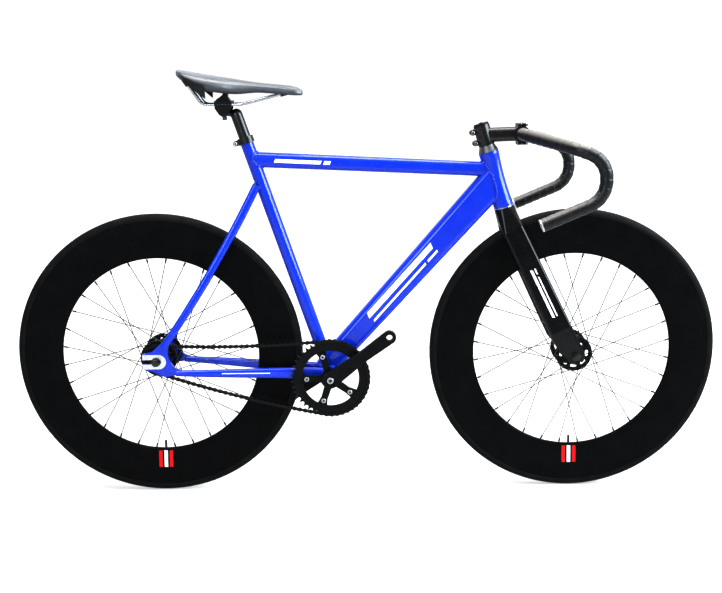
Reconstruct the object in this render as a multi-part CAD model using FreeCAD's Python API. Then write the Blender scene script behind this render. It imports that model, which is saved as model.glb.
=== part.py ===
import FreeCAD, Part
import math
import os
from FreeCAD import Vector

# Fixed gear bike with drop bars, deep rims and track ends. Sizes in millimetres, angles in degrees.
# The origin is on the ground midway between the axles: +X forwards, +Y to the rider's left, +Z up.

# Stance
tyre_outer_radius = 334.0
wheel_gap = 297.2
bb_drop = 50.0
head_base_over_tyre = 44.7
head_base_angle = 115.65
head_angle = 73.8
seat_angle = 71.6

# Fits
weld_gap = 0.05
seat_gap = 0.1
running_gap = 0.05
moving_gap = 0.4
cut_overrun = 60.0

# Chain and sprockets
chain_pitch = 12.7
ring_teeth = 44
cog_teeth = 16
ring_wrap_count = 24
cog_wrap_count = 8
run_over_tyre = 59.7
run_sag = 7.0
chain_line = 43.5
roller_radius = 3.85
roller_seat_gap = 0.2
plate_half_height = 4.1
plate_thickness = 1.1
plate_point_share = 0.45
inner_plate_gap = 3.5
plate_side_gap = 0.1
pin_half_width = 1.2
pin_gap = 0.55
pin_proud = 0.2
tooth_thickness = 3.0
tooth_height = 3.4
tooth_tip_half_width = 0.7
tooth_seat_angle = 62.0

# Crankset
crank_length = 170.0
crank_raise_angle = 36.3
crank_inner_face = 56.0
crank_thickness = 13.0
crank_boss_radius = 19.0
crank_boss_inner_face = 40.0
crank_waist_half_width = 13.0
crank_waist_share = 0.55
pedal_eye_radius = 15.5
pedal_thread_radius = 7.14
crank_bolt_radius = 8.0
crank_bolt_height = 4.0
crank_bolt_shank_radius = 4.0
crank_bolt_recess_radius = 11.0
crank_bolt_recess = 6.0
crank_edge_radius = 2.0
spider_arm_count = 5
spider_hub_radius = 23.5
spider_arm_root_half_width = 9.5
spider_arm_tip_half_width = 7.5
spider_tip_radius = 9.0
spider_thickness = 5.0
ring_bolt_circle_radius = 55.0
ring_bolt_radius = 4.0
ring_bolt_head_radius = 5.6
ring_bolt_head_height = 1.6
ring_inner_radius = 66.0
ring_tab_half_width = 13.0

# Bottom bracket
bb_shell_width = 68.0
bb_shell_radius = 21.5
bb_shell_bore_radius = 17.5
bb_cup_bore_radius = 14.0
bb_cup_depth = 12.0
bb_cup_lip_radius = 19.8
bb_cup_lip = 2.5
bb_bearing_width = 9.0
spindle_radius = 8.5
spindle_square = 12.7
spindle_half_length = 60.0

# Frame tubes
tube_wall = 1.5
head_tube_length = 129.3
head_tube_end_radius = 22.8
head_tube_waist_radius = 20.0
head_tube_collar = 6.0
head_tube_bore_radius = 17.5
headset_seat_depth = 7.5
headset_bearing_radius = 20.4
headset_bearing_bore_radius = 15.1
seat_tube_length = 585.0
seat_tube_radius = 15.0
top_tube_drop = 53.0
top_tube_on_head = 87.5
top_tube_width = 32.0
top_tube_rear_depth = 34.5
top_tube_front_depth = 32.5
top_tube_corner = 12.0
down_tube_on_head = 66.0
down_tube_base_back = 14.0
down_tube_base_rise = 12.5
down_tube_width = 38.0
down_tube_base_depth = 50.0
down_tube_head_depth = 70.0
down_tube_corner = 14.0

# Stays and track ends
rear_hub_spacing = 120.0
dropout_thickness = 7.0
dropout_length = 58.0
dropout_height = 45.0
dropout_slot_half_height = 5.15
dropout_slot_ahead = 12.0
dropout_rear_share = -0.535
dropout_prong_share = 0.4
dropout_top_shares = ((-0.17, 0.51), (0.26, 1.0), (0.59, 1.0))
dropout_web_shares = (0.72, -0.31, 0.5, 0.18)
dropout_base_shares = ((1.0, -0.49), (1.0, -0.66), (0.31, -0.8), (-0.2, -0.49))
faceplate_thickness = 1.2
faceplate_half_height = 17.0
faceplate_front = 23.0
chainstay_root_back = 15.0
chainstay_root_rise = 6.0
chainstay_root_side = 24.0
chainstay_end_ahead = 44.0
chainstay_end_drop = 28.0
chainstay_knee_share = 0.2
chainstay_knee_in = 4.0
chainstay_mid_share = 0.6
chainstay_root_height = 27.0
chainstay_root_width = 17.0
chainstay_mid_height = 21.0
chainstay_mid_width = 15.0
chainstay_end_height = 14.0
chainstay_end_width = 13.0
seatstay_drop = 115.0
seatstay_root_back = 13.0
seatstay_root_side = 13.0
seatstay_end_ahead = 18.0
seatstay_end_rise = 34.0
seatstay_mid_share = 0.5
seatstay_bow_ahead = 8.0
seatstay_bow_out = 7.0
seatstay_root_depth = 18.0
seatstay_root_width = 12.0
seatstay_end_depth = 16.0
seatstay_end_width = 12.5
stay_wall = 1.5
stay_station_shares = (0, 0.07, 0.2, 0.35, 0.5, 0.65, 0.8, 0.93, 1)

# Seat collar
collar_height = 15.0
collar_wall = 3.4
collar_slot = 2.5
collar_lug_reach = 24.0
collar_lug_radius = 6.0
collar_lug_width = 20.0
collar_bolt_radius = 2.5
collar_bolt_head_radius = 4.3
collar_bolt_head_height = 4.0

# Tyres, rims and spokes
tyre_section_radius = 12.0
tyre_wall = 2.2
bead_width = 2.5
bead_gap = 0.3
tube_section_radius = 9.4
tube_rubber = 1.0
valve_radius = 3.0
valve_bore_radius = 1.2
valve_reach = 18.0
tyre_rise = 16.5
rim_depth = 87.5
rim_half_width = 11.0
rim_flange = 1.8
rim_flange_height = 7.5
rim_track_height = 14.0
rim_wall = 1.8
rim_nose_half_width = 5.5
rim_nose_height = 5.5
rim_flank_share = 0.5
rim_flank_bulge = 1.4
spoke_count = 32
spoke_radius = 1.0
spoke_cross_angle = 67.5
spoke_rim_gap = 0.7
spoke_edge_gap = 0.4
spoke_hole_gap = 0.3
spoke_head_radius = 1.7
spoke_head_height = 1.2
nipple_radius = 2.1
nipple_length = 9.0
flange_hole_radius = 39.0

# Hubs
axle_radius = 5.0
hub_flange_radius = 42.5
hub_flange_thickness = 3.0
hub_barrel_radius = 15.5
hub_bore_radius = 8.0
hub_end_radius = 17.0
hub_cone = 5.0
hub_bearing_radius = 13.0
hub_bearing_width = 8.0
hub_window_count = 8
hub_window_circle_radius = 29.5
hub_window_half_length = 7.5
hub_window_half_width = 3.7
front_flange_place = 33.0
front_hub_end = 38.0
front_hub_spacing = 100.0
rear_drive_flange_place = 31.0
rear_plain_flange_place = 36.0
rear_drive_end = 50.0
rear_plain_end = 44.0
cog_boss_radius = 17.2
cog_shoulder_place = 40.0
cog_shoulder_radius = 20.0
cog_collar_radius = 21.0
lockring_radius = 21.0
lockring_width = 4.4
axle_spacer_radius = 8.0
nut_across_flats = 15.0
nut_height = 10.0
nut_washer_radius = 10.5
nut_washer_height = 2.6
axle_proud = 2.5

# Fork
fork_blade_top_drop = 9.0
fork_blade_knee = 70.0
fork_blade_end = 30.0
fork_blade_chord = 53.0
fork_blade_top_chord = 50.0
fork_blade_setback = 6.0
fork_blade_top_thickness = 17.0
fork_blade_thickness = 12.0
fork_blade_top_side = 31.0
fork_tip_radius = 20.5
fork_tip_angle = 195.0
fork_slot_half_width = 5.15
fork_wall = 2.0
crown_top_width = 45.0
crown_top_corner = 20.0
crown_corner = 8.0
crown_tyre_gap = 7.0
crown_steerer_depth = 24.0
steerer_radius = 14.3
steerer_wall = 2.3
crown_race_flange_radius = 21.5
crown_race_flange = 2.2
headset_play = 0.4
top_cover_height = 15.5
top_cover_base_radius = 23.0
top_cover_top_radius = 17.0

# Stem
stem_clamp_radius = 18.5
stem_clamp_height = 46.0
stem_reach = 83.0
stem_rise = 2.0
stem_width = 32.0
stem_depth = 32.0
stem_corner = 12.0
bar_clamp_radius = 18.5
bar_clamp_width = 44.0
clamp_split = 1.5
clamp_lug_length = 9.0
clamp_lug_reach = 24.0
clamp_lug_width = 40.0
clamp_bolt_side = 14.0
clamp_bolt_radius = 2.5
clamp_bolt_head_radius = 4.2
clamp_bolt_head_height = 4.0
steerer_lug_reach = 24.0
steerer_lug_radius = 6.2
steerer_lug_width = 24.0
steerer_lug_spread = 12.5
steerer_slot = 2.0
top_cap_radius = 17.0
top_cap_height = 4.0
top_cap_bolt_height = 2.0

# Handlebar
bar_radius = 11.9
bar_wall = 1.8
bar_sleeve_radius = 12.7
bar_sleeve_half_length = 27.0
bar_half_width = 200.0
bar_top_half_width = 50.0
bar_ramp_reach = 93.0
bar_ramp_drop = 24.5
bar_hook_reach = 151.0
bar_hook_drop = 47.0
bar_low_drop = 127.5
bar_end_reach = 19.0
bar_end_drop = 182.0
bar_top_bend_radius = 70.0
bar_ramp_bend_radius = 40.0
bar_hook_bend_radius = 55.0
tape_radius = 14.0
tape_start = 28.0
tape_gap = 0.15
plug_radius = 13.5
plug_height = 3.0
plug_stub_length = 14.0

# Seatpost
post_radius = 13.6
post_wall = 2.4
post_below_collar = 150.0
post_elbow_height = 53.0
post_arm_radius = 7.5
barrel_back = 27.0
barrel_rise = 6.0
barrel_radius = 10.5
barrel_half_length = 20.0
barrel_slot_half_length = 6.5

# Saddle clamp and rails
rail_radius = 3.5
rail_side = 22.0
rail_height = 17.0
cradle_half_length = 19.0
cradle_foot_half_length = 10.0
cradle_half_width = 27.0
cradle_base = 5.0
clamp_cap_height = 8.0
seat_bolt_radius = 3.0
seat_bolt_head_radius = 5.0
seat_bolt_head_height = 4.0
seat_bolt_washer_height = 3.0
seat_bolt_washer_half_length = 4.2
seat_bolt_washer_half_width = 9.0
rail_straight_back = 46.0
rail_straight_ahead = 42.0
rail_tail_share = 0.295
rail_tail_side = 30.0
rail_tail_rise = 54.0
rail_nose_share = 0.5036
rail_nose_side = 5.0
rail_nose_rise = 24.0
rail_bend_radius = 22.0
rail_socket_radius = 6.0
rail_socket_length = 14.0

# Saddle
saddle_length = 278.0
saddle_half_width = 69.0
saddle_height = 62.0
saddle_tail_share = 0.365
saddle_base_rise = 16.6
saddle_pad = 9.0
saddle_skirt = 4.0
saddle_shell_wall = 2.5
saddle_gap = 0.25
saddle_thin_share = 0.35
saddle_foot_share = 0.22
saddle_shoulder_share = 0.35
saddle_edge_share = 0.3
saddle_side_share = 0.42
saddle_shoulder_drop_share = 0.2
# Along the length, then the half width, the top and the foot of each station
saddle_station_shares = (
    (0.0, 0.50, 0.985, 0.80),
    (0.06, 0.86, 0.94, 0.60),
    (0.19, 1.0, 0.835, 0.30),
    (0.34, 0.82, 0.725, 0.15),
    (0.48, 0.54, 0.63, 0.09),
    (0.64, 0.35, 0.52, 0.13),
    (0.82, 0.28, 0.42, 0.07),
    (0.94, 0.24, 0.33, 0.02),
    (1.0, 0.11, 0.20, 0.02),
)

x_axis = Vector(1, 0, 0)
y_axis = Vector(0, 1, 0)
z_axis = Vector(0, 0, 1)
full_turn = 360.0


# Shapes

def rod(start, end, radius):
    along = end - start
    return Part.makeCylinder(radius, along.Length, start, along)


def ring_rod(start, end, radius, bore_radius):
    return rod(start, end, radius).cut(rod(start, end, bore_radius))


def outline(corners, place):
    """Closed wire through (a, b) corners. A corner of four numbers ends an arc through its last two."""
    edges = []
    for before, corner in zip(corners[-1:] + corners[:-1], corners):
        start, end = place(*before[:2]), place(*corner[:2])
        if len(corner) == 4:
            edges.append(Part.Arc(start, place(*corner[2:]), end).toShape())
        else:
            edges.append(Part.LineSegment(start, end).toShape())
    return Part.Wire(edges)


def lathe(corners, base, axis, radial):
    """Solid turned about an axis from (radius, height) corners."""
    wire = outline(corners, lambda radius, height: base + radial * radius + axis * height)
    return Part.Face(wire).revolve(base, axis, full_turn)


def wheel_lathe(corners, centre):
    """Solid turned about the Y line through centre from (radius, y) corners."""
    return lathe(corners, centre, y_axis, x_axis)


def side_prism(corners, centre, y_from, y_to):
    """Solid between two y planes from (x, z) corners measured from centre."""
    wire = outline(corners, lambda x, z: Vector(centre.x + x, y_from, centre.z + z))
    return Part.Face(wire).extrude(y_axis * (y_to - y_from))


def rounded_section(centre, across, up, width, depth, corner):
    a, b = width / 2 - corner, depth / 2 - corner
    bulge = corner * math.sqrt(0.5)
    corners = [(width / 2, -b, a + bulge, -b - bulge), (width / 2, b)]
    corners += [(a, depth / 2, a + bulge, b + bulge), (-a, depth / 2)]
    corners += [(-width / 2, b, -a - bulge, b + bulge), (-width / 2, -b)]
    corners += [(-a, -depth / 2, -a - bulge, -b - bulge), (a, -depth / 2)]
    return outline(corners, lambda s, t: centre + across * s + up * t)


def oval_section(centre, across, up, width, depth):
    """Two flat sides joined by round ends, longest along up."""
    r = width / 2
    b = depth / 2 - r
    bulge = r * math.sqrt(0.5)
    corners = [(r, -b, bulge, -b - bulge), (r, b)]
    corners += [(0, depth / 2, bulge, b + bulge), (-r, b, -bulge, b + bulge)]
    corners += [(-r, -b), (0, -depth / 2, -bulge, -b - bulge)]
    return outline(corners, lambda s, t: centre + across * s + up * t)


def loft(wires, ruled=False):
    return Part.makeLoft(wires, True, ruled)


def swept(points, radii, radius):
    """Round bar of straight runs through the points, with a tangent bend at each inner point."""
    pieces = []
    start = points[0]
    for before, corner, after, bend in zip(points, points[1:], points[2:], radii):
        into = (corner - before).normalize()
        out = (after - corner).normalize()
        turn = into.getAngle(out)
        setback = bend * math.tan(turn / 2)
        bend_start = corner - into * setback
        centre = corner + (out - into).normalize() * (bend / math.cos(turn / 2))
        disc = Part.Face(Part.Wire(Part.Circle(bend_start, into, radius).toShape()))
        pieces.append(rod(start, bend_start, radius))
        pieces.append(disc.revolve(centre, into.cross(out), math.degrees(turn)))
        start = corner + out * setback
    pieces.append(rod(start, points[-1], radius))
    return pieces[0].fuse(pieces[1:]).removeSplitter()


def between(t, knots, values):
    """Value at t on straight lines through the values at the knots."""
    for k in range(len(knots) - 2, -1, -1):
        if t >= knots[k] or k == 0:
            share = (t - knots[k]) / (knots[k + 1] - knots[k])
            return values[k] + (values[k + 1] - values[k]) * share


def largest(shape):
    return max(shape.Solids, key=lambda solid: solid.Volume)


def turned(shape, centre, degrees):
    """A copy turned about the Y line through centre; positive lifts +X towards +Z."""
    copy = shape.copy()
    copy.rotate(centre, y_axis, -degrees)
    return copy


def mirrored(shape):
    return shape.mirror(Vector(0, 0, 0), y_axis)


def polar(radius, degrees):
    return Vector(radius * math.cos(math.radians(degrees)), 0, radius * math.sin(math.radians(degrees)))


def at_side(point, y):
    return Vector(point.x, y, point.z)


def square(half):
    return [(-half, -half), (half, -half), (half, half), (-half, half)]


def tongue(back, ahead, half):
    """Corners of a strip from back to an arc past ahead, half as high on each side of its line."""
    return [(back, -half), (ahead, -half), (ahead, half, ahead + half, 0), (back, half)]


def hexagon(across_flats):
    return [(across_flats / math.sqrt(3) * math.cos(k * math.pi / 3),
             across_flats / math.sqrt(3) * math.sin(k * math.pi / 3)) for k in range(6)]


# Reference points and directions

wheelbase = 2 * tyre_outer_radius + wheel_gap
rear_axle = Vector(-wheelbase / 2, 0, tyre_outer_radius)
front_axle = Vector(wheelbase / 2, 0, tyre_outer_radius)
rim_outer_radius = tyre_outer_radius - tyre_rise
rim_inner_radius = rim_outer_radius - rim_depth
run_count = round((tyre_outer_radius + run_over_tyre) / chain_pitch)
ring_pitch_radius = chain_pitch / (2 * math.sin(math.pi / ring_teeth))
cog_pitch_radius = chain_pitch / (2 * math.sin(math.pi / cog_teeth))
ring_half_wrap = 180.0 * ring_wrap_count / ring_teeth
cog_leave_angle = 180.0 - 180.0 * cog_wrap_count / cog_teeth
run_length = run_count * chain_pitch
run_chord = run_length - 8 * run_sag ** 2 / (3 * run_length)
run_rise = polar(ring_pitch_radius, ring_half_wrap).z - polar(cog_pitch_radius, cog_leave_angle).z
chain_centres = (math.sqrt(run_chord ** 2 - run_rise ** 2)
                 - polar(ring_pitch_radius, ring_half_wrap).x + polar(cog_pitch_radius, cog_leave_angle).x)
bb = rear_axle + Vector(math.sqrt(chain_centres ** 2 - bb_drop ** 2), 0, -bb_drop)
drive_angle = math.degrees(math.atan2(bb.z - rear_axle.z, bb.x - rear_axle.x))

head_base = front_axle + polar(tyre_outer_radius + head_base_over_tyre, head_base_angle)
steer_up = polar(1, 180 - head_angle)
steer_ahead = polar(1, 90 - head_angle)
seat_up = polar(1, 180 - seat_angle)
seat_top = bb + seat_up * seat_tube_length
top_tube_on_seat = seat_tube_length - top_tube_drop
seatstay_on_seat = seat_tube_length - seatstay_drop
fork_up = (head_base - front_axle).normalize()
fork_ahead = Vector(fork_up.z, 0, -fork_up.x)
fork_blade_top = tyre_outer_radius - fork_blade_top_drop


def on_steerer(height):
    return head_base + steer_up * height


# Frame

def head_tube_outside(gap=0):
    ends = head_tube_end_radius + gap
    return lathe([(0, 0), (ends, 0), (ends, head_tube_collar),
                  (ends, head_tube_length - head_tube_collar,
                   head_tube_waist_radius + gap, head_tube_length / 2),
                  (ends, head_tube_length), (0, head_tube_length)],
                 head_base, steer_up, steer_ahead)


def head_tube():
    seat = headset_bearing_radius + seat_gap
    low, high = headset_seat_depth, head_tube_length - headset_seat_depth
    hollow = lathe([(0, 0), (seat, 0), (seat, low), (head_tube_bore_radius, low),
                    (head_tube_bore_radius, high), (seat, high), (seat, head_tube_length),
                    (0, head_tube_length)], head_base, steer_up, steer_ahead)
    return head_tube_outside().cut(hollow)


def seat_tube_outside(gap=0):
    return rod(bb, seat_top, seat_tube_radius + gap)


def bb_shell_outside(gap=0):
    half = bb_shell_width / 2 + gap
    return rod(at_side(bb, -half), at_side(bb, half), bb_shell_radius + gap)


def seat_tube():
    tube = seat_tube_outside().cut(rod(bb, seat_top, post_radius + running_gap))
    return largest(tube.cut(bb_shell_outside(weld_gap)))


def bb_shell():
    return bb_shell_outside().cut(rod(at_side(bb, -bb_shell_width), at_side(bb, bb_shell_width),
                                      bb_shell_bore_radius))


def main_tube(start, end, width, start_depth, end_depth, corner, wall=0):
    """Tapered tube with flat sides and rounded edges, or its inside when wall is given."""
    along = (end - start).normalize()
    up = y_axis.cross(along) * -1
    side = y_axis * (width / 2 - wall)
    length = (end - start).Length
    low, high = start_depth / 2 - wall, end_depth / 2 - wall
    wire = outline([(0, -low), (length, -high), (length, high), (0, low)],
                   lambda a, u: start + along * a + up * u - side)
    bar = Part.Face(wire).extrude(side * 2)
    long_edges = [edge for edge in bar.Edges if edge.Length > length - corner]
    return bar.makeFillet(corner - wall, long_edges)


def down_tube_bar(wall=0):
    """Filled down tube drawn in by wall."""
    return main_tube(bb + Vector(-down_tube_base_back, 0, down_tube_base_rise), on_steerer(down_tube_on_head),
                     down_tube_width, down_tube_base_depth, down_tube_head_depth, down_tube_corner, wall)


def lower_race_room():
    """Space that the lower race and the crown's top turn in, under the head tube."""
    return rod(on_steerer(-cut_overrun), on_steerer(0), head_tube_end_radius + moving_gap)


def down_tube():
    tube = down_tube_bar().cut(down_tube_bar(tube_wall))
    for neighbour in (head_tube_outside(weld_gap), seat_tube_outside(weld_gap), bb_shell_outside(weld_gap),
                      lower_race_room()):
        tube = tube.cut(neighbour)
    return largest(tube)


def top_tube():
    ends = (bb + seat_up * top_tube_on_seat, on_steerer(top_tube_on_head))
    sizes = (top_tube_width, top_tube_rear_depth, top_tube_front_depth, top_tube_corner)
    tube = main_tube(*ends, *sizes).cut(main_tube(*ends, *sizes, tube_wall))
    for neighbour in (head_tube_outside(weld_gap), seat_tube_outside(weld_gap), down_tube_bar(-weld_gap)):
        tube = tube.cut(neighbour)
    return largest(tube)


def dropout_face():
    return rear_hub_spacing / 2


def dropout_slot(y_from, y_to):
    h = dropout_slot_half_height
    back = dropout_length * dropout_rear_share - cut_overrun
    ahead = dropout_slot_ahead - h
    return side_prism(tongue(back, ahead, h), rear_axle, y_from, y_to)


def dropout_plate(gap=0):
    """Track end on the left, open to the rear, with a tab into each stay."""
    def at(x_share, z_share):
        return dropout_length * x_share, dropout_height * z_share
    prong = dropout_prong_share
    corners = [at(dropout_rear_share, -prong), at(dropout_rear_share, prong)]
    corners += [at(*share) for share in dropout_top_shares]
    corners.append(at(*dropout_web_shares[:2]) + at(*dropout_web_shares[2:]))
    corners += [at(*share) for share in dropout_base_shares]
    y_from, y_to = dropout_face() - gap, dropout_face() + dropout_thickness + gap
    return side_prism(corners, rear_axle, y_from, y_to)


def dropouts():
    left = dropout_plate().cut(dropout_slot(0, dropout_face() + cut_overrun))
    return [mirrored(left), left]


def dropout_plates():
    y_from = dropout_face() + dropout_thickness + weld_gap
    y_to = y_from + faceplate_thickness
    h = faceplate_half_height
    back, ahead = dropout_length * dropout_rear_share, faceplate_front - h
    plate = side_prism(tongue(back, ahead, h), rear_axle, y_from, y_to)
    left = plate.cut(dropout_slot(0, y_to + cut_overrun))
    return [mirrored(left), left]


def stay(points, sizes):
    """Left stay on a smooth path through points, with (width, depth) ovals, hollow to stay_wall."""
    path = Part.BSplineCurve()
    path.interpolate(points)
    knots = [path.parameter(point) for point in points]
    skins = []
    for wall in (0, stay_wall):
        sections = []
        for share in stay_station_shares:
            t = path.FirstParameter + (path.LastParameter - path.FirstParameter) * share
            along = path.tangent(t)[0]
            across = (y_axis - along * along.dot(y_axis)).normalize()
            width, depth = (between(t, knots, [size[k] for size in sizes]) - 2 * wall for k in (0, 1))
            sections.append(oval_section(path.value(t), across, along.cross(across), width, depth))
        skins.append(loft(sections, True))
    return skins[0].cut(skins[1])


def chainstay():
    side = dropout_face() + dropout_thickness / 2
    root = bb + Vector(-chainstay_root_back, chainstay_root_side, chainstay_root_rise)
    end = rear_axle + Vector(chainstay_end_ahead, side, -chainstay_end_drop)
    knee = root + (end - root) * chainstay_knee_share - y_axis * chainstay_knee_in
    middle = root + (end - root) * chainstay_mid_share
    root_size = (chainstay_root_width, chainstay_root_height)
    sizes = (root_size, root_size, (chainstay_mid_width, chainstay_mid_height),
             (chainstay_end_width, chainstay_end_height))
    tube = stay([root, knee, middle, end], sizes)
    for neighbour in (bb_shell_outside(weld_gap), seat_tube_outside(weld_gap), down_tube_bar(-weld_gap),
                      dropout_plate(weld_gap)):
        tube = tube.cut(neighbour)
    return largest(tube)


def seatstay():
    side = dropout_face() + dropout_thickness / 2
    root = bb + seat_up * seatstay_on_seat + Vector(-seatstay_root_back, seatstay_root_side, 0)
    end = rear_axle + Vector(seatstay_end_ahead, side, seatstay_end_rise)
    along = (end - root).normalize()
    bow = Vector(-along.z, 0, along.x).normalize() * seatstay_bow_ahead + y_axis * seatstay_bow_out
    middle = root + (end - root) * seatstay_mid_share + bow
    sizes = ((seatstay_root_width, seatstay_root_depth),
             ((seatstay_root_width + seatstay_end_width) / 2, (seatstay_root_depth + seatstay_end_depth) / 2),
             (seatstay_end_width, seatstay_end_depth))
    tube = stay([root, middle, end], sizes)
    for neighbour in (seat_tube_outside(weld_gap), dropout_plate(weld_gap)):
        tube = tube.cut(neighbour)
    return largest(tube)


def headset_bearings():
    rings = []
    for foot in (seat_gap, head_tube_length - headset_seat_depth + seat_gap):
        top = foot + headset_seat_depth - 2 * seat_gap
        rings.append(ring_rod(on_steerer(foot), on_steerer(top), headset_bearing_radius,
                              headset_bearing_bore_radius))
    return rings


def collar_lug_centre():
    return seat_top - seat_up * (collar_height / 2) - Vector(seat_up.z, 0, -seat_up.x) * collar_lug_reach


def seat_collar():
    low = seat_top - seat_up * collar_height
    lug = collar_lug_centre()
    half = collar_lug_width / 2
    band = rod(low, seat_top, seat_tube_radius + collar_wall)
    ears = rod(at_side(lug, -half), at_side(lug, half), collar_lug_radius)
    middle = seat_top - seat_up * (collar_height / 2)
    web = loft([rounded_section(point, y_axis, seat_up, collar_lug_width, 2 * collar_lug_radius,
                                collar_wall / 2) for point in (lug, middle)], True)
    collar = band.fuse([ears, web]).removeSplitter()
    past = seat_up * cut_overrun
    collar = collar.cut(rod(low - past, seat_top + past, seat_tube_radius + seat_gap))
    back = (lug - middle) * 2
    slot = loft([rounded_section(point, y_axis, seat_up, collar_slot, cut_overrun, collar_slot / 4)
                 for point in (middle, middle + back)], True)
    hole = rod(at_side(lug, -cut_overrun), at_side(lug, cut_overrun), collar_bolt_radius + seat_gap)
    return largest(collar.cut(slot).cut(hole))


def seat_collar_bolt():
    lug, half = collar_lug_centre(), collar_lug_width / 2
    face = -half - seat_gap
    end = face - collar_bolt_head_height
    shank = rod(at_side(lug, end), at_side(lug, half), collar_bolt_radius)
    head = rod(at_side(lug, end), at_side(lug, face), collar_bolt_head_radius)
    return shank.fuse(head).removeSplitter()


def bb_cups():
    face, r = bb_shell_width / 2, bb_shell_bore_radius - seat_gap
    lip = face + weld_gap
    left = wheel_lathe([(bb_cup_bore_radius, face - bb_cup_depth), (r, face - bb_cup_depth), (r, lip),
                        (bb_cup_lip_radius, lip), (bb_cup_lip_radius, lip + bb_cup_lip),
                        (bb_cup_bore_radius, lip + bb_cup_lip)], bb)
    return [mirrored(left), left]


def bb_bearings():
    out = bb_shell_width / 2
    left = ring_rod(at_side(bb, out - bb_bearing_width), at_side(bb, out), bb_cup_bore_radius - seat_gap,
                    spindle_radius + running_gap)
    return [mirrored(left), left]


# Chain

def chain_pins():
    """Pin centres round the drive in order, in a frame with the cog at zero and the ring at +X."""
    ring_step, cog_step = full_turn / ring_teeth, full_turn / cog_teeth
    ring_centre = Vector(chain_centres, 0, 0)
    ring_arc = [ring_centre + polar(ring_pitch_radius, -ring_half_wrap + k * ring_step)
                for k in range(ring_wrap_count + 1)]
    cog_arc = [polar(cog_pitch_radius, cog_leave_angle + k * cog_step) for k in range(cog_wrap_count + 1)]
    top = slack_run(ring_arc[-1], cog_arc[0])
    low = slack_run(ring_arc[0], cog_arc[-1])
    return ring_arc + top + cog_arc + low[::-1]


def slack_run(start, end):
    """Inner pin centres of a run that hangs below its chord in a shallow arc of equal links."""
    turn_low, turn_high = 0.0, math.pi / run_count
    chord = (end - start).Length
    for _ in range(60):
        turn = (turn_low + turn_high) / 2
        if math.sin(run_count * turn / 2) / math.sin(turn / 2) > chord / chain_pitch:
            turn_low = turn
        else:
            turn_high = turn
    radius = chain_pitch / (2 * math.sin(turn / 2))
    along = (end - start).normalize()
    down = Vector(along.z, 0, -along.x)
    if down.z > 0:
        down = down * -1
    centre = (start + end) * 0.5 - down * (radius * math.cos(run_count * turn / 2))
    pins = []
    for k in range(1, run_count):
        swing = (k - run_count / 2) * turn
        pins.append(centre + down * (radius * math.cos(swing)) + along * (radius * math.sin(swing)))
    return pins


def link_plate(y_from, y_to):
    reach = chain_pitch / 2 + plate_half_height
    shoulder = chain_pitch / 2 + plate_half_height * plate_point_share
    h = plate_half_height
    corners = [(-reach, 0), (-shoulder, -h), (shoulder, -h), (reach, 0), (shoulder, h), (-shoulder, h)]
    return side_prism(corners, Vector(0, 0, 0), y_from, y_to)


def square_pin(x, half_width, y_from, y_to):
    return side_prism(square(half_width), Vector(x, 0, 0), y_from, y_to)


def inner_link():
    face = inner_plate_gap / 2
    pieces = [link_plate(face, face + plate_thickness), link_plate(-face - plate_thickness, -face)]
    roller = hexagon(roller_radius * math.sqrt(3))
    for x in (-chain_pitch / 2, chain_pitch / 2):
        pieces.append(side_prism(roller, Vector(x, 0, 0), -face, face))
    link = pieces[0].fuse(pieces[1:]).removeSplitter()
    for x in (-chain_pitch / 2, chain_pitch / 2):
        link = link.cut(square_pin(x, pin_half_width + pin_gap, -cut_overrun, cut_overrun))
    return link


def outer_link():
    face = inner_plate_gap / 2 + plate_thickness + plate_side_gap
    pieces = [link_plate(face, face + plate_thickness), link_plate(-face - plate_thickness, -face)]
    end = face + plate_thickness + pin_proud
    for x in (-chain_pitch / 2, chain_pitch / 2):
        pieces.append(square_pin(x, pin_half_width, -end, end))
    return pieces[0].fuse(pieces[1:]).removeSplitter()


def chain():
    pins = [turned_point(pin) for pin in chain_pins()]
    kinds = (inner_link(), outer_link())
    links = []
    for k, (start, end) in enumerate(zip(pins, pins[1:] + pins[:1])):
        along = end - start
        link = kinds[k % 2].copy()
        lean = math.degrees(math.atan2(along.z, along.x))
        link.Placement = FreeCAD.Placement((start + end) * 0.5, FreeCAD.Rotation(y_axis, -lean))
        links.append(link)
    return links


def turned_point(pin):
    """From the drive's own frame to the bike's, on the chain line."""
    a = math.radians(drive_angle)
    return Vector(rear_axle.x + pin.x * math.cos(a) - pin.z * math.sin(a), -chain_line,
                  rear_axle.z + pin.x * math.sin(a) + pin.z * math.cos(a))


def sprocket(centre, teeth, pitch_radius):
    """Toothed disc on the chain line, with a roller seat facing along the drive."""
    seat = roller_radius + roller_seat_gap
    step = full_turn / teeth
    corners = []
    for k in range(teeth):
        middle = k * step
        pin = polar(pitch_radius, middle)
        for sign in (-1, 1):
            edge = pin + polar(seat, middle + 180 - sign * (90 - tooth_seat_angle / 2))
            if sign < 0:
                corners.append((edge.x, edge.z))
            else:
                bottom = polar(pitch_radius - seat, middle)
                corners.append((edge.x, edge.z, bottom.x, bottom.z))
        tip = polar(pitch_radius + tooth_height, middle + step / 2)
        along = polar(tooth_tip_half_width, middle + step / 2 + 90)
        corners += [(tip.x - along.x, tip.z - along.z), (tip.x + along.x, tip.z + along.z)]
    half = tooth_thickness / 2
    return turned(side_prism(corners, centre, -chain_line - half, -chain_line + half), centre, drive_angle)


# Crankset

def spider_angles():
    return [crank_raise_angle + k * full_turn / spider_arm_count for k in range(spider_arm_count)]


def ring_bolt_holes():
    y_from, y_to = -chain_line - cut_overrun, -chain_line + cut_overrun
    holes = []
    for angle in spider_angles():
        place = bb + polar(ring_bolt_circle_radius, angle)
        holes.append(rod(at_side(place, y_from), at_side(place, y_to), ring_bolt_radius + seat_gap))
    return holes


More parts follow.
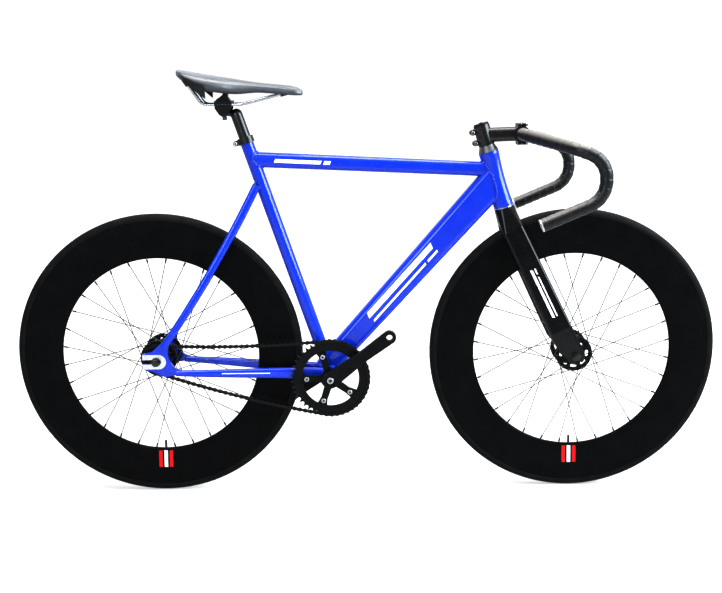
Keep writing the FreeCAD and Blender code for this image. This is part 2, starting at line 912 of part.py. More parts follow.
def chainring():
    half = tooth_thickness / 2
    y_from, y_to = -chain_line - half, -chain_line + half
    ring = sprocket(bb, ring_teeth, ring_pitch_radius)
    ring = ring.cut(rod(at_side(bb, -chain_line - cut_overrun), at_side(bb, -chain_line + cut_overrun),
                        ring_inner_radius))
    tabs = []
    for angle in spider_angles():
        place = bb + polar(ring_bolt_circle_radius, angle)
        tabs.append(rod(at_side(place, y_from), at_side(place, y_to), spider_tip_radius))
        root = ring_inner_radius + spider_tip_radius / 2
        tab = side_prism([(ring_bolt_circle_radius, -spider_tip_radius), (root, -ring_tab_half_width),
                          (root, ring_tab_half_width), (ring_bolt_circle_radius, spider_tip_radius)],
                         bb, y_from, y_to)
        tabs.append(turned(tab, bb, angle))
    return ring.fuse(tabs).removeSplitter().cut(Part.makeCompound(ring_bolt_holes()))


def spider_face():
    return chain_line + tooth_thickness / 2 + seat_gap


def chainring_bolts():
    outer = -spider_face() - spider_thickness - seat_gap
    inner = -chain_line + tooth_thickness / 2 + seat_gap
    bolts = []
    for angle in spider_angles():
        place = bb + polar(ring_bolt_circle_radius, angle)
        shank = rod(at_side(place, outer), at_side(place, inner), ring_bolt_radius)
        heads = [rod(at_side(place, y), at_side(place, y + ring_bolt_head_height), ring_bolt_head_radius)
                 for y in (outer - ring_bolt_head_height, inner)]
        bolts.append(shank.fuse(heads).removeSplitter())
    return bolts


def crank_arm(sign, angle):
    """Arm with its boss, square hole and pedal thread on the side given by sign."""
    inner, outer = sign * crank_inner_face, sign * (crank_inner_face + crank_thickness)
    waist = crank_length * crank_waist_share
    corners = [(0, crank_boss_radius, -crank_boss_radius, 0), (waist, crank_waist_half_width),
               (crank_length, pedal_eye_radius),
               (crank_length, -pedal_eye_radius, crank_length + pedal_eye_radius, 0),
               (waist, -crank_waist_half_width), (0, -crank_boss_radius)]
    arm = side_prism(corners, bb, inner, outer)
    edges = [edge for edge in arm.Edges if abs(edge.CenterOfMass.y - outer) < weld_gap]
    arm = arm.makeFillet(crank_edge_radius, edges)
    boss = rod(at_side(bb, sign * crank_boss_inner_face), at_side(bb, inner + sign * weld_gap),
               crank_boss_radius)
    arm = arm.fuse(boss)
    recess = rod(at_side(bb, outer - sign * crank_bolt_recess), at_side(bb, outer + sign * cut_overrun),
                 crank_bolt_recess_radius)
    taper = side_prism(square(spindle_square / 2 + seat_gap), bb, 0, sign * cut_overrun * 2)
    eye = bb + Vector(crank_length, 0, 0)
    thread = rod(at_side(eye, inner - sign * cut_overrun), at_side(eye, outer + sign * cut_overrun),
                 pedal_thread_radius)
    return turned(arm.cut(Part.makeCompound([recess, taper, thread])), bb, angle)


def right_crank():
    y_to = -spider_face()
    y_from = y_to - spider_thickness
    pieces = [rod(at_side(bb, y_from), at_side(bb, y_to), spider_hub_radius)]
    reach, root, tip = ring_bolt_circle_radius, spider_arm_root_half_width, spider_arm_tip_half_width
    arm = side_prism([(0, -root), (reach, -tip), (reach, tip), (0, root)], bb, y_from, y_to)
    for angle in spider_angles():
        place = bb + polar(reach, angle)
        pieces.append(turned(arm, bb, angle))
        pieces.append(rod(at_side(place, y_from), at_side(place, y_to), spider_tip_radius))
    taper = side_prism(square(spindle_square / 2 + seat_gap), bb, 0, -cut_overrun * 2)
    spider = pieces[0].fuse(pieces[1:]).removeSplitter()
    spider = spider.cut(Part.makeCompound(ring_bolt_holes() + [turned(taper, bb, crank_raise_angle)]))
    return crank_arm(-1, crank_raise_angle).fuse(spider).removeSplitter()


def left_crank():
    return crank_arm(1, crank_raise_angle + 180)


def bb_spindle():
    shoulder = bb_shell_width / 2 + bb_cup_lip
    barrel = rod(at_side(bb, -shoulder), at_side(bb, shoulder), spindle_radius)
    ends = []
    for sign in (-1, 1):
        taper = side_prism(square(spindle_square / 2), bb, sign * shoulder, sign * spindle_half_length)
        ends.append(turned(taper, bb, crank_raise_angle))
    return barrel.fuse(ends).removeSplitter()


def crank_bolts():
    face = crank_inner_face + crank_thickness - crank_bolt_recess + seat_gap
    bolts = []
    for sign in (-1, 1):
        head = rod(at_side(bb, sign * face), at_side(bb, sign * (face + crank_bolt_height)),
                   crank_bolt_radius)
        shank = rod(at_side(bb, sign * (spindle_half_length + weld_gap)), at_side(bb, sign * face),
                    crank_bolt_shank_radius)
        bolts.append(head.fuse(shank).removeSplitter())
    return bolts


# Wheels

def tyre(axle):
    centre = tyre_outer_radius - tyre_section_radius
    lip = rim_outer_radius + moving_gap
    shoulder = math.sqrt(tyre_section_radius ** 2 - (centre - lip) ** 2)
    bead_out = rim_half_width - rim_flange - bead_gap
    bead_in = bead_out - bead_width
    foot = rim_outer_radius - rim_flange_height + bead_gap
    inside = tyre_section_radius - tyre_wall
    neck = centre - math.sqrt(inside ** 2 - bead_in ** 2)
    return wheel_lathe([(lip, shoulder), (lip, -shoulder, tyre_outer_radius, 0), (lip, -bead_out),
                        (foot, -bead_out), (foot, -bead_in), (neck, -bead_in),
                        (neck, bead_in, centre + inside, 0), (foot, bead_in), (foot, bead_out),
                        (lip, bead_out)], axle)


def valve_rod(axle, radius, reach, base):
    return rod(axle - z_axis * reach, axle - z_axis * base, radius)


def inner_tube(axle):
    centre = tyre_outer_radius - tyre_section_radius
    outside = Part.makeTorus(centre, tube_section_radius, axle, y_axis)
    inside = Part.makeTorus(centre, tube_section_radius - tube_rubber, axle, y_axis)
    end = rim_inner_radius - valve_reach
    stem = valve_rod(axle, valve_radius, end, centre)
    bore = valve_rod(axle, valve_bore_radius, end - cut_overrun, centre)
    return outside.fuse(stem).cut(inside).cut(bore)


def rim_outline(inset, tip_radius):
    """Half-open deep section shared by the rim's outside and its hollow, drawn inset by its wall."""
    side = rim_half_width - inset
    track = rim_outer_radius - rim_track_height
    nose = rim_nose_half_width - inset
    tip = rim_inner_radius + inset
    nose_start = rim_inner_radius + rim_nose_height
    flank = nose_start + (track - nose_start) * rim_flank_share
    flank_side = (side + nose) / 2 + rim_flank_bulge
    lower = [(track, side), (nose_start, nose, flank, flank_side), (nose_start, -nose, tip, 0),
             (track, -side, flank, -flank_side)]
    return [(tip_radius, side)] + lower + [(tip_radius, -side)]


def rim(axle):
    bed = rim_outer_radius - rim_flange_height
    inner = rim_half_width - rim_flange
    outside = rim_outline(0, rim_outer_radius)
    outside += [(rim_outer_radius, -inner), (bed, -inner), (bed, inner), (rim_outer_radius, inner)]
    hollow = rim_outline(rim_wall, bed - rim_wall)
    shell = wheel_lathe(outside, axle).cut(wheel_lathe(hollow, axle))
    hole = valve_rod(axle, valve_radius + bead_gap, rim_inner_radius - cut_overrun, rim_outer_radius)
    return shell.cut(hole)


def spoke_starts(flange_places):
    """For each spoke: its flange, the side that it leaves by (+1 out, -1 in) and its angle on the hub."""
    per_side = spoke_count // 2
    step = full_turn / per_side
    starts = []
    for side, place in enumerate(flange_places):
        for k in range(per_side):
            starts.append((place, 1 if k % 2 else -1, -90 + step * (k + (1 + 2 * side) / 4)))
    return starts


def spoke_standoff(place):
    """How far a spoke on a flange's outer side stands off it, to clear the flange's edge."""
    run = polar(rim_inner_radius - spoke_rim_gap, spoke_cross_angle) - x_axis * flange_hole_radius
    lean = flange_hole_radius * run.x / run.Length
    over_flange = math.sqrt(lean ** 2 + hub_flange_radius ** 2 - flange_hole_radius ** 2) - lean
    share = over_flange / run.Length
    side = abs(place) + hub_flange_thickness / 2 + seat_gap + spoke_radius
    return (spoke_edge_gap + share * side) / (1 - share)


def spokes(axle, flange_places):
    """Crossed spokes, each with its elbow and head through the flange and its nipple at the rim."""
    made = []
    for place, leaves, angle in spoke_starts(flange_places):
        out = y_axis * (leaves if place > 0 else -leaves)
        hole = axle + polar(flange_hole_radius, angle) + y_axis * place
        face = hub_flange_thickness / 2 + seat_gap
        start = hole + out * (face + spoke_radius + (spoke_standoff(place) if leaves > 0 else 0))
        end = axle + polar(rim_inner_radius - spoke_rim_gap, angle + leaves * spoke_cross_angle)
        along = (end - start).normalize()
        head = hole - out * face
        pieces = [rod(end - along * nipple_length, end, nipple_radius),
                  Part.makeSphere(spoke_radius, start), rod(start, head, spoke_radius),
                  rod(head, head - out * spoke_head_height, spoke_head_radius)]
        made.append(rod(start, end, spoke_radius).fuse(pieces).removeSplitter())
    return made


def spoke_holes(axle, flange_places):
    holes = []
    for place, _, angle in spoke_starts(flange_places):
        hole = axle + polar(flange_hole_radius, angle)
        holes.append(rod(at_side(hole, place - hub_flange_thickness),
                         at_side(hole, place + hub_flange_thickness), spoke_radius + spoke_hole_gap))
    return holes


def hub_windows(axle, place):
    """Oval cut-outs round one flange."""
    w, half = hub_window_half_width, hub_window_half_length - hub_window_half_width
    r, t = hub_window_circle_radius, hub_flange_thickness
    cuts = []
    for k in range(hub_window_count):
        corners = [(r - w, -half), (r + w, -half, r, -half - w), (r + w, half), (r - w, half, r, half + w)]
        window = side_prism(corners, axle, place - t, place + t)
        cuts.append(turned(window, axle, k * full_turn / hub_window_count))
    return cuts


def hub_shell(axle, low, high, low_flange, high_flange, low_steps=()):
    """Turned shell from y low to y high, with a bearing seat in each end and two drilled flanges."""
    seat = hub_bearing_radius + weld_gap
    f, barrel = hub_flange_thickness / 2, hub_barrel_radius
    corners = [(hub_bore_radius, low + hub_bearing_width), (seat, low + hub_bearing_width), (seat, low)]
    corners += list(low_steps) or [(hub_end_radius, low)]
    root = low_steps[-1][0] if low_steps else hub_end_radius
    corners += [(root, low_flange - f), (hub_flange_radius, low_flange - f),
                (hub_flange_radius, low_flange + f), (barrel + hub_cone, low_flange + f),
                (barrel, low_flange + f + hub_cone),
                (barrel, high_flange - f - hub_cone), (barrel + hub_cone, high_flange - f),
                (hub_flange_radius, high_flange - f), (hub_flange_radius, high_flange + f),
                (hub_end_radius, high_flange + f), (hub_end_radius, high), (seat, high),
                (seat, high - hub_bearing_width), (hub_bore_radius, high - hub_bearing_width)]
    shell = wheel_lathe(corners, axle)
    cuts = hub_windows(axle, low_flange) + hub_windows(axle, high_flange)
    return shell.cut(Part.makeCompound(cuts + spoke_holes(axle, (low_flange, high_flange))))


def front_hub_shell():
    return hub_shell(front_axle, -front_hub_end, front_hub_end, -front_flange_place, front_flange_place)


def rear_hub_shell():
    steps = [(cog_boss_radius, -rear_drive_end), (cog_boss_radius, -cog_shoulder_place),
             (cog_shoulder_radius, -cog_shoulder_place)]
    return hub_shell(rear_axle, -rear_drive_end, rear_plain_end, -rear_drive_flange_place,
                     rear_plain_flange_place, steps)


def hub_bearings(axle, low, high):
    return [ring_rod(at_side(axle, y), at_side(axle, y + hub_bearing_width), hub_bearing_radius,
                     axle_radius + running_gap) for y in (low, high - hub_bearing_width)]


def cog():
    disc = sprocket(rear_axle, cog_teeth, cog_pitch_radius)
    collar = rod(at_side(rear_axle, -chain_line), at_side(rear_axle, -cog_shoulder_place - weld_gap),
                 cog_collar_radius)
    bore = rod(at_side(rear_axle, -rear_drive_end), at_side(rear_axle, 0), cog_boss_radius + weld_gap)
    return disc.fuse(collar).removeSplitter().cut(bore)


def lockring():
    y = -chain_line - tooth_thickness / 2 - weld_gap
    return ring_rod(at_side(rear_axle, y - lockring_width), at_side(rear_axle, y), lockring_radius,
                    cog_boss_radius + weld_gap)


def axle_and_spacers(axle, shell_low, shell_high, inner_face, nut_face):
    """Threaded axle with the spacer that holds each bearing off the frame or fork."""
    end = nut_face + nut_washer_height + nut_height + axle_proud
    pieces = [rod(at_side(axle, -end), at_side(axle, end), axle_radius)]
    for y_from, y_to in ((-inner_face + weld_gap, shell_low - moving_gap),
                         (shell_high + moving_gap, inner_face - weld_gap)):
        pieces.append(rod(at_side(axle, y_from), at_side(axle, y_to), axle_spacer_radius))
    return pieces[0].fuse(pieces[1:]).removeSplitter()


def axle_nuts(axle, face):
    nuts = []
    for sign in (-1, 1):
        y = sign * (face + weld_gap)
        washer = rod(at_side(axle, y), at_side(axle, y + sign * nut_washer_height), nut_washer_radius)
        y += sign * nut_washer_height
        body = side_prism(hexagon(nut_across_flats), axle, y, y + sign * nut_height)
        hole = rod(at_side(axle, 0), at_side(axle, sign * (face + cut_overrun)), axle_radius + weld_gap)
        nuts.append(washer.fuse(body).removeSplitter().cut(hole))
    return nuts


def rear_nut_face():
    return dropout_face() + dropout_thickness + weld_gap + faceplate_thickness


def front_nut_face():
    return front_hub_spacing / 2 + fork_blade_thickness


# Fork and headset

def on_fork(ahead, up, y=0):
    return front_axle + fork_ahead * ahead + fork_up * up + y_axis * y


def fork_blade():
    """Left blade: flat aero oval from the crown to a rounded tip with an open axle slot."""
    tip_side = front_hub_spacing / 2 + fork_blade_thickness / 2
    stations = ((fork_blade_top, fork_blade_top_side, fork_blade_top_chord, fork_blade_top_thickness),
                (fork_blade_knee, tip_side, fork_blade_chord, fork_blade_thickness),
                (-fork_blade_end, tip_side, fork_blade_chord, fork_blade_thickness))
    skins = []
    for wall in (0, fork_wall):
        sections = [oval_section(on_fork(-fork_blade_setback, up, side), y_axis, fork_ahead,
                                 thick - 2 * wall, chord - 2 * wall)
                    for up, side, chord, thick in stations[:3 if wall == 0 else 2]]
        skins.append(loft(sections, True))
    blade = skins[0].cut(skins[1])
    r = fork_tip_radius
    leave = polar(r, fork_tip_angle)
    slope = polar(fork_blade_chord, fork_tip_angle - 90)
    bottom = polar(r, (fork_tip_angle - 360) / 2)
    edge = r + cut_overrun
    corners = [(edge, 0), (r, 0), (leave.x, leave.z, bottom.x, bottom.z),
               (leave.x + slope.x, leave.z + slope.z), (-edge, leave.z + slope.z), (-edge, -edge),
               (edge, -edge)]
    waste = outline(corners, lambda a, u: on_fork(a, u))
    waste = Part.Face(waste).extrude(y_axis * (tip_side + cut_overrun))
    s = fork_slot_half_width
    slot = outline([(-s, -edge), (s, -edge), (s, 0), (-s, 0, 0, s)], lambda a, u: on_fork(a, u))
    slot = Part.Face(slot).extrude(y_axis * (tip_side + cut_overrun))
    return largest(blade.cut(waste).cut(slot))


def crown_top():
    return -headset_play - crown_race_flange - weld_gap


def fork_crown():
    """Crown from the lower headset race to the blades, arched over the tyre."""
    width = 2 * fork_blade_top_side + fork_blade_top_thickness
    base = fork_blade_top + weld_gap
    body = loft([rounded_section(on_steerer(crown_top()), y_axis, steer_ahead, crown_top_width,
                                 crown_top_width, crown_top_corner),
                 rounded_section(on_fork(-fork_blade_setback, base), y_axis, fork_ahead, width,
                                 fork_blade_top_chord, crown_corner)], True)
    half = fork_blade_top_side - fork_blade_top_thickness / 2
    arch = rod(at_side(front_axle, -half), at_side(front_axle, half), tyre_outer_radius + crown_tyre_gap)
    hole = rod(on_steerer(crown_top() - crown_steerer_depth), on_steerer(cut_overrun),
               steerer_radius + weld_gap)
    return largest(body.cut(arch).cut(hole))


def stem_base():
    return head_tube_length + headset_play + top_cover_height


def steerer_tube():
    low = on_steerer(crown_top() - crown_steerer_depth + weld_gap)
    high = on_steerer(stem_base() + stem_clamp_height - moving_gap)
    return ring_rod(low, high, steerer_radius, steerer_radius - steerer_wall)


def crown_race():
    neck = headset_bearing_bore_radius - running_gap
    bore = steerer_radius + weld_gap
    foot = -headset_play - crown_race_flange
    top = headset_seat_depth - seat_gap
    return lathe([(bore, foot), (crown_race_flange_radius, foot), (crown_race_flange_radius, -headset_play),
                  (neck, -headset_play), (neck, top), (bore, top)], head_base, steer_up, steer_ahead)


def headset_top_cover():
    """Cone over the head tube with the ring that centres the steerer in the upper bearing."""
    neck = headset_bearing_bore_radius - running_gap
    bore = steerer_radius + weld_gap
    foot = head_tube_length + headset_play
    ring_foot = head_tube_length - headset_seat_depth + seat_gap
    top = stem_base() - weld_gap
    return lathe([(bore, ring_foot), (neck, ring_foot), (neck, foot), (top_cover_base_radius, foot),
                  (top_cover_top_radius, top), (bore, top)], head_base, steer_up, steer_ahead)


# Stem and handlebar

def stem_middle():
    return on_steerer(stem_base() + stem_clamp_height / 2)


bar_centre = stem_middle() + Vector(stem_reach, 0, stem_rise)
stem_ahead = (bar_centre - stem_middle()).normalize()
stem_up = Vector(-stem_ahead.z, 0, stem_ahead.x)


def bar_clamp_block():
    """Bar clamp ring with its top and bottom lugs, before it is split."""
    half = bar_clamp_width / 2
    ring = rod(at_side(bar_centre, -half), at_side(bar_centre, half), bar_clamp_radius)
    lugs = loft([rounded_section(bar_centre + stem_ahead * s, y_axis, stem_up, clamp_lug_width,
                                 2 * clamp_lug_reach, clamp_lug_length / 4)
                 for s in (-clamp_lug_length, clamp_lug_length)], True)
    return ring.fuse(lugs).removeSplitter()


def bar_bore():
    return rod(at_side(bar_centre, -cut_overrun), at_side(bar_centre, cut_overrun),
               bar_sleeve_radius + weld_gap)


def half_space(side):
    """Block that fills one side of the clamp's split: +1 ahead of the bar, -1 behind it."""
    reach = stem_reach / 2
    ends = [bar_centre + stem_ahead * (side * s) for s in (-clamp_split / 2, reach)]
    return loft([rounded_section(point, y_axis, stem_up, 2 * reach, 2 * reach, clamp_split)
                 for point in ends], True)


def clamp_bolt_places():
    offset = (bar_clamp_radius + clamp_lug_reach) / 2
    return [bar_centre + stem_up * (v * offset) + y_axis * (s * clamp_bolt_side)
            for v in (-1, 1) for s in (-1, 1)]


def clamp_bolt_holes():
    return [rod(p - stem_ahead * cut_overrun, p + stem_ahead * cut_overrun, clamp_bolt_radius + seat_gap)
            for p in clamp_bolt_places()]


def steerer_lug_places():
    return [stem_middle() - steer_ahead * steerer_lug_reach + steer_up * (v * steerer_lug_spread)
            for v in (-1, 1)]


def stem():
    low, high = stem_base(), stem_base() + stem_clamp_height
    pieces = [bar_clamp_block()]
    pieces.append(loft([rounded_section(point, y_axis, stem_up, stem_width, stem_depth, stem_corner)
                        for point in (stem_middle(), bar_centre)], True))
    half = steerer_lug_width / 2
    for lug in steerer_lug_places():
        pieces.append(rod(at_side(lug, -half), at_side(lug, half), steerer_lug_radius))
        pieces.append(loft([rounded_section(point, y_axis, steer_up, steerer_lug_width,
                                            2 * steerer_lug_radius, steerer_lug_radius / 4)
                            for point in (lug, lug + steer_ahead * steerer_lug_reach)], True))
    body = rod(on_steerer(low), on_steerer(high), stem_clamp_radius).fuse(pieces).removeSplitter()
    back = steer_ahead * -2 * steerer_lug_reach
    slot = loft([rounded_section(point, y_axis, steer_up, steerer_slot, 2 * stem_clamp_height,
                                 steerer_slot / 4) for point in (stem_middle(), stem_middle() + back)], True)
    bolt_holes = [rod(at_side(lug, -cut_overrun), at_side(lug, cut_overrun), clamp_bolt_radius + seat_gap)
                  for lug in steerer_lug_places()]
    steerer_hole = rod(on_steerer(low - cut_overrun), on_steerer(high + cut_overrun),
                       steerer_radius + weld_gap)
    cuts = [half_space(1), bar_bore(), slot, steerer_hole] + bolt_holes + clamp_bolt_holes()
    for cut in cuts:
        body = body.cut(cut)
    return largest(body)


def stem_faceplate():
    plate = bar_clamp_block().cut(half_space(-1)).cut(bar_bore())
    for hole in clamp_bolt_holes():
        plate = plate.cut(hole)
    return largest(plate)


def stem_bolts():
    bolts = []
    face = stem_ahead * (clamp_lug_length + weld_gap)
    for place in clamp_bolt_places():
        front = place + face
        shank = rod(place - face, front, clamp_bolt_radius)
        bolts.append(shank.fuse(rod(front, front + stem_ahead * clamp_bolt_head_height,
                                    clamp_bolt_head_radius)).removeSplitter())
    out = steerer_lug_width / 2 + weld_gap
    for lug in steerer_lug_places():
        shank = rod(at_side(lug, -out), at_side(lug, out), clamp_bolt_radius)
        head = rod(at_side(lug, -out - clamp_bolt_head_height), at_side(lug, -out), clamp_bolt_head_radius)
        bolts.append(shank.fuse(head).removeSplitter())
    return bolts


def stem_top_cap():
    foot = stem_base() + stem_clamp_height + weld_gap
    top = foot + top_cap_height
    cap = rod(on_steerer(foot), on_steerer(top), top_cap_radius)
    head = rod(on_steerer(top), on_steerer(top + top_cap_bolt_height), clamp_bolt_head_radius)
    return cap.fuse(head).removeSplitter()


def bar_points(start):
    """Left half of the bar, from the clamp's centre: from y start to the open end of its drop."""
    wide = bar_half_width
    return [Vector(0, start, 0), Vector(0, bar_top_half_width, 0),
            Vector(bar_ramp_reach, wide, -bar_ramp_drop), Vector(bar_hook_reach, wide, -bar_hook_drop),
            Vector(bar_hook_reach, wide, -bar_low_drop), Vector(bar_end_reach, wide, -bar_end_drop)]


def in_clamp(shape):
    """A piece that was made about the clamp's centre, set in its place."""
    shape.translate(bar_centre)
    return shape


bar_bends = (bar_top_bend_radius, bar_ramp_bend_radius, bar_hook_bend_radius, bar_hook_bend_radius)


def handlebar():
    half = y_axis * bar_sleeve_half_length
    left = swept(bar_points(0), bar_bends, bar_radius)
    bore = swept(bar_points(0), bar_bends, bar_radius - bar_wall)
    bar = left.fuse([mirrored(left), rod(-half, half, bar_sleeve_radius)]).removeSplitter()
    return in_clamp(bar.cut(bore.fuse(mirrored(bore)).removeSplitter()))


def bar_tape():
    left = swept(bar_points(tape_start), bar_bends, tape_radius)
    left = left.cut(swept(bar_points(0), bar_bends, bar_radius + tape_gap))
    return [in_clamp(mirrored(left)), in_clamp(left)]


def bar_end_plugs():
    points = bar_points(0)
    out = (points[-1] - points[-2]).normalize()
    end = points[-1] + out * weld_gap
    stub = rod(end - out * plug_stub_length, end, bar_radius - bar_wall - seat_gap)
    left = rod(end, end + out * plug_height, plug_radius).fuse(stub).removeSplitter()
    return [in_clamp(mirrored(left)), in_clamp(left)]


# Seatpost and saddle

elbow = seat_top + seat_up * post_elbow_height
barrel_centre = elbow + Vector(-barrel_back, 0, barrel_rise)
rail_level = barrel_centre + z_axis * rail_height


def seatpost():
    foot = seat_top - seat_up * post_below_collar
    tube = rod(foot, elbow, post_radius).fuse(Part.makeSphere(post_radius, elbow))
    tube = tube.cut(rod(foot, elbow - seat_up * post_radius, post_radius - post_wall))
    h = barrel_half_length
    barrel = rod(at_side(barrel_centre, -h), at_side(barrel_centre, h), barrel_radius)
    post = tube.fuse([rod(elbow, barrel_centre, post_arm_radius), barrel]).removeSplitter()
    s, w = barrel_slot_half_length, seat_bolt_radius + moving_gap
    slot = side_prism([(-s, -cut_overrun), (s, -cut_overrun), (s, cut_overrun), (-s, cut_overrun)],
                      barrel_centre, -w, w)
    return post.cut(slot)


def rail_points(side):
    def at(ahead, aside, rise):
        return rail_level + Vector(ahead, side * aside, rise)
    return [at(-saddle_length * rail_tail_share, rail_tail_side, rail_tail_rise),
            at(-rail_straight_back, rail_side, 0), at(rail_straight_ahead, rail_side, 0),
            at(saddle_length * rail_nose_share, rail_nose_side, rail_nose_rise)]


def saddle_rails():
    return [swept(rail_points(side), (rail_bend_radius, rail_bend_radius), rail_radius) for side in (-1, 1)]


def rail_grooves():
    grooves = []
    for side in (-1, 1):
        ends = [at_side(rail_level, side * rail_side) + x_axis * (s * cut_overrun) for s in (-1, 1)]
        grooves.append(rod(ends[0], ends[1], rail_radius + running_gap))
    return grooves


def saddle_clamp():
    """Cradle that rocks on the barrel, and the cap that closes over the rails."""
    l, w = cradle_half_length, cradle_half_width
    foot, waist = rail_height - rail_radius - cradle_base, rail_height - rail_radius
    split = rail_height - seat_gap
    f = cradle_foot_half_length
    lower = side_prism([(-f, foot), (f, foot), (l, waist), (l, split), (-l, split), (-l, waist)],
                       barrel_centre, -w, w)
    seat = rod(at_side(barrel_centre, -w), at_side(barrel_centre, w), barrel_radius + moving_gap)
    top = rail_height + clamp_cap_height
    upper = side_prism([(-l, rail_height + seat_gap), (l, rail_height + seat_gap), (l, top), (-l, top)],
                       barrel_centre, -w, w)
    bolt_hole = rod(barrel_centre, barrel_centre + z_axis * cut_overrun, seat_bolt_radius + seat_gap)
    halves = []
    for half in (lower.cut(seat), upper):
        for tool in rail_grooves() + [bolt_hole]:
            half = half.cut(tool)
        halves.append(largest(half))
    return halves


def saddle_clamp_bolt():
    """Upright bolt through the barrel's slot, with a curved washer under the barrel."""
    top = barrel_centre + z_axis * (rail_height + clamp_cap_height + seat_gap)
    under = barrel_radius + moving_gap + seat_bolt_washer_height
    low = barrel_centre - z_axis * under
    head = rod(low - z_axis * seat_bolt_head_height, low, seat_bolt_head_radius)
    nut = rod(top, top + z_axis * seat_bolt_head_height, seat_bolt_head_radius)
    shank = rod(low, top + z_axis * seat_bolt_head_height, seat_bolt_radius)
    l, w = seat_bolt_washer_half_length, seat_bolt_washer_half_width
    washer = side_prism([(-l, -under), (l, -under), (l, 0), (-l, 0)], barrel_centre, -w, w)
    washer = washer.cut(rod(at_side(barrel_centre, -w), at_side(barrel_centre, w),
                            barrel_radius + moving_gap))
    return shank.fuse([head, nut, washer]).removeSplitter()


def saddle_skin(layer, foot_drop=0):
    """Loft of one surface of the saddle: 0 outside, 1 under the pad, 2 over the shell, 3 under the shell."""
    tail = rail_level + Vector(-saddle_length * saddle_tail_share, 0, saddle_base_rise)
    sections = []
    for along, width, top, foot in saddle_station_shares:
        half, high, low = saddle_half_width * width, saddle_height * top, saddle_height * foot
        tall = high - low
        side_in = min(saddle_skirt, half * saddle_thin_share)
        top_in = min(saddle_pad, tall * saddle_thin_share)
        wall = min(saddle_shell_wall, top_in)
        extra = (0, 0, saddle_gap, saddle_gap + wall)[layer]
        if layer > 0:
            half, high = half - side_in - extra, high - top_in - extra
            tall = high - low
        x = saddle_length * along + (side_in + extra if layer > 0 else 0) * (1 - 2 * along)
        knee = half - min(tall * saddle_foot_share, half * saddle_edge_share)
        shoulder = half - min(tall * saddle_shoulder_share, half * saddle_edge_share)
        fall, middle = tall * saddle_shoulder_drop_share, low + tall * saddle_side_share
        corners = [(knee, low), (shoulder, high - fall, half, middle), (-shoulder, high - fall, 0, high),
                   (-knee, low, -half, middle)]
        if foot_drop:
            corners += [(-knee, low - foot_drop), (knee, low - foot_drop)]
        sections.append(outline(corners, lambda y, z: tail + Vector(x, y, z)))
    return loft(sections)


def saddle_cover():
    return largest(saddle_skin(0).cut(saddle_skin(1, saddle_height)))


def rail_sockets():
    """Lugs under the shell that take the rails' ends."""
    lugs = []
    for side in (-1, 1):
        points = rail_points(side)
        for end, before in ((points[0], points[1]), (points[-1], points[-2])):
            out = (end - before).normalize()
            lugs.append(rod(end - out * rail_socket_length, end + out * saddle_height, rail_socket_radius))
    return lugs


def rail_holes():
    holes = []
    for side in (-1, 1):
        points = rail_points(side)
        for end, before in ((points[0], points[1]), (points[-1], points[-2])):
            out = (end - before).normalize()
            holes.append(rod(before, end + out * seat_gap, rail_radius + seat_gap))
    return holes


def saddle_shell():
    room = saddle_skin(2, saddle_height)
    shell = room.cut(saddle_skin(3, saddle_height)).common(saddle_skin(0))
    shell = largest(shell).fuse([lug.common(room) for lug in rail_sockets()]).removeSplitter()
    for hole in rail_holes():
        shell = shell.cut(hole)
    return largest(shell)


# Every node with its solids

nodes = {
    "head_tube": head_tube(),
    "top_tube": top_tube(),
    "down_tube": down_tube(),
    "seat_tube": seat_tube(),
    "bb_shell": bb_shell(),
    "chainstay_right": mirrored(chainstay()),
    "chainstay_left": chainstay(),
    "seatstay_right": mirrored(seatstay()),
    "seatstay_left": seatstay(),
    "dropouts": dropouts(),
    "dropout_plates": dropout_plates(),
    "headset_bearings": headset_bearings(),
    "seat_collar": seat_collar(),
    "seat_collar_bolt": seat_collar_bolt(),
    "bb_cups": bb_cups(),
    "bb_bearings": bb_bearings(),
    "chain": chain(),
    "rear_axle": axle_and_spacers(rear_axle, -rear_drive_end, rear_plain_end, dropout_face(),
                                  rear_nut_face()),
    "rear_axle_nuts": axle_nuts(rear_axle, rear_nut_face()),
    "bb_spindle": bb_spindle(),
    "right_crank": right_crank(),
    "chainring": chainring(),
    "chainring_bolts": chainring_bolts(),
    "left_crank": left_crank(),
    "crank_bolts": crank_bolts(),
    "rear_tyre": tyre(rear_axle),
    "rear_inner_tube": inner_tube(rear_axle),
    "rear_rim": rim(rear_axle),
    "rear_spokes": spokes(rear_axle, (-rear_drive_flange_place, rear_plain_flange_place)),
    "rear_hub_shell": rear_hub_shell(),
    "rear_hub_bearings": hub_bearings(rear_axle, -rear_drive_end, rear_plain_end),
    "cog": cog(),
    "lockring": lockring(),
    "steerer_tube": steerer_tube(),
    "fork_crown": fork_crown(),
    "fork_blade_right": mirrored(fork_blade()),
    "fork_blade_left": fork_blade(),
    "crown_race": crown_race(),
    "headset_top_cover": headset_top_cover(),
    "stem": stem(),
    "stem_faceplate": stem_faceplate(),
    "stem_bolts": stem_bolts(),
    "stem_top_cap": stem_top_cap(),
    "handlebar": handlebar(),
    "bar_tape": bar_tape(),
    "bar_end_plugs": bar_end_plugs(),
    "front_axle": axle_and_spacers(front_axle, -front_hub_end, front_hub_end, front_hub_spacing / 2,
                                   front_nut_face()),
    "front_axle_nuts": axle_nuts(front_axle, front_nut_face()),
    "front_tyre": tyre(front_axle),
    "front_inner_tube": inner_tube(front_axle),
    "front_rim": rim(front_axle),
    "front_spokes": spokes(front_axle, (-front_flange_place, front_flange_place)),
    "front_hub_shell": front_hub_shell(),
    "front_hub_bearings": hub_bearings(front_axle, -front_hub_end, front_hub_end),
    "seatpost": seatpost(),
    "saddle_clamp": saddle_clamp(),
    "saddle_clamp_bolt": saddle_clamp_bolt(),
    "saddle_rails": saddle_rails(),
    "saddle_shell": saddle_shell(),
    "saddle_cover": saddle_cover(),
}

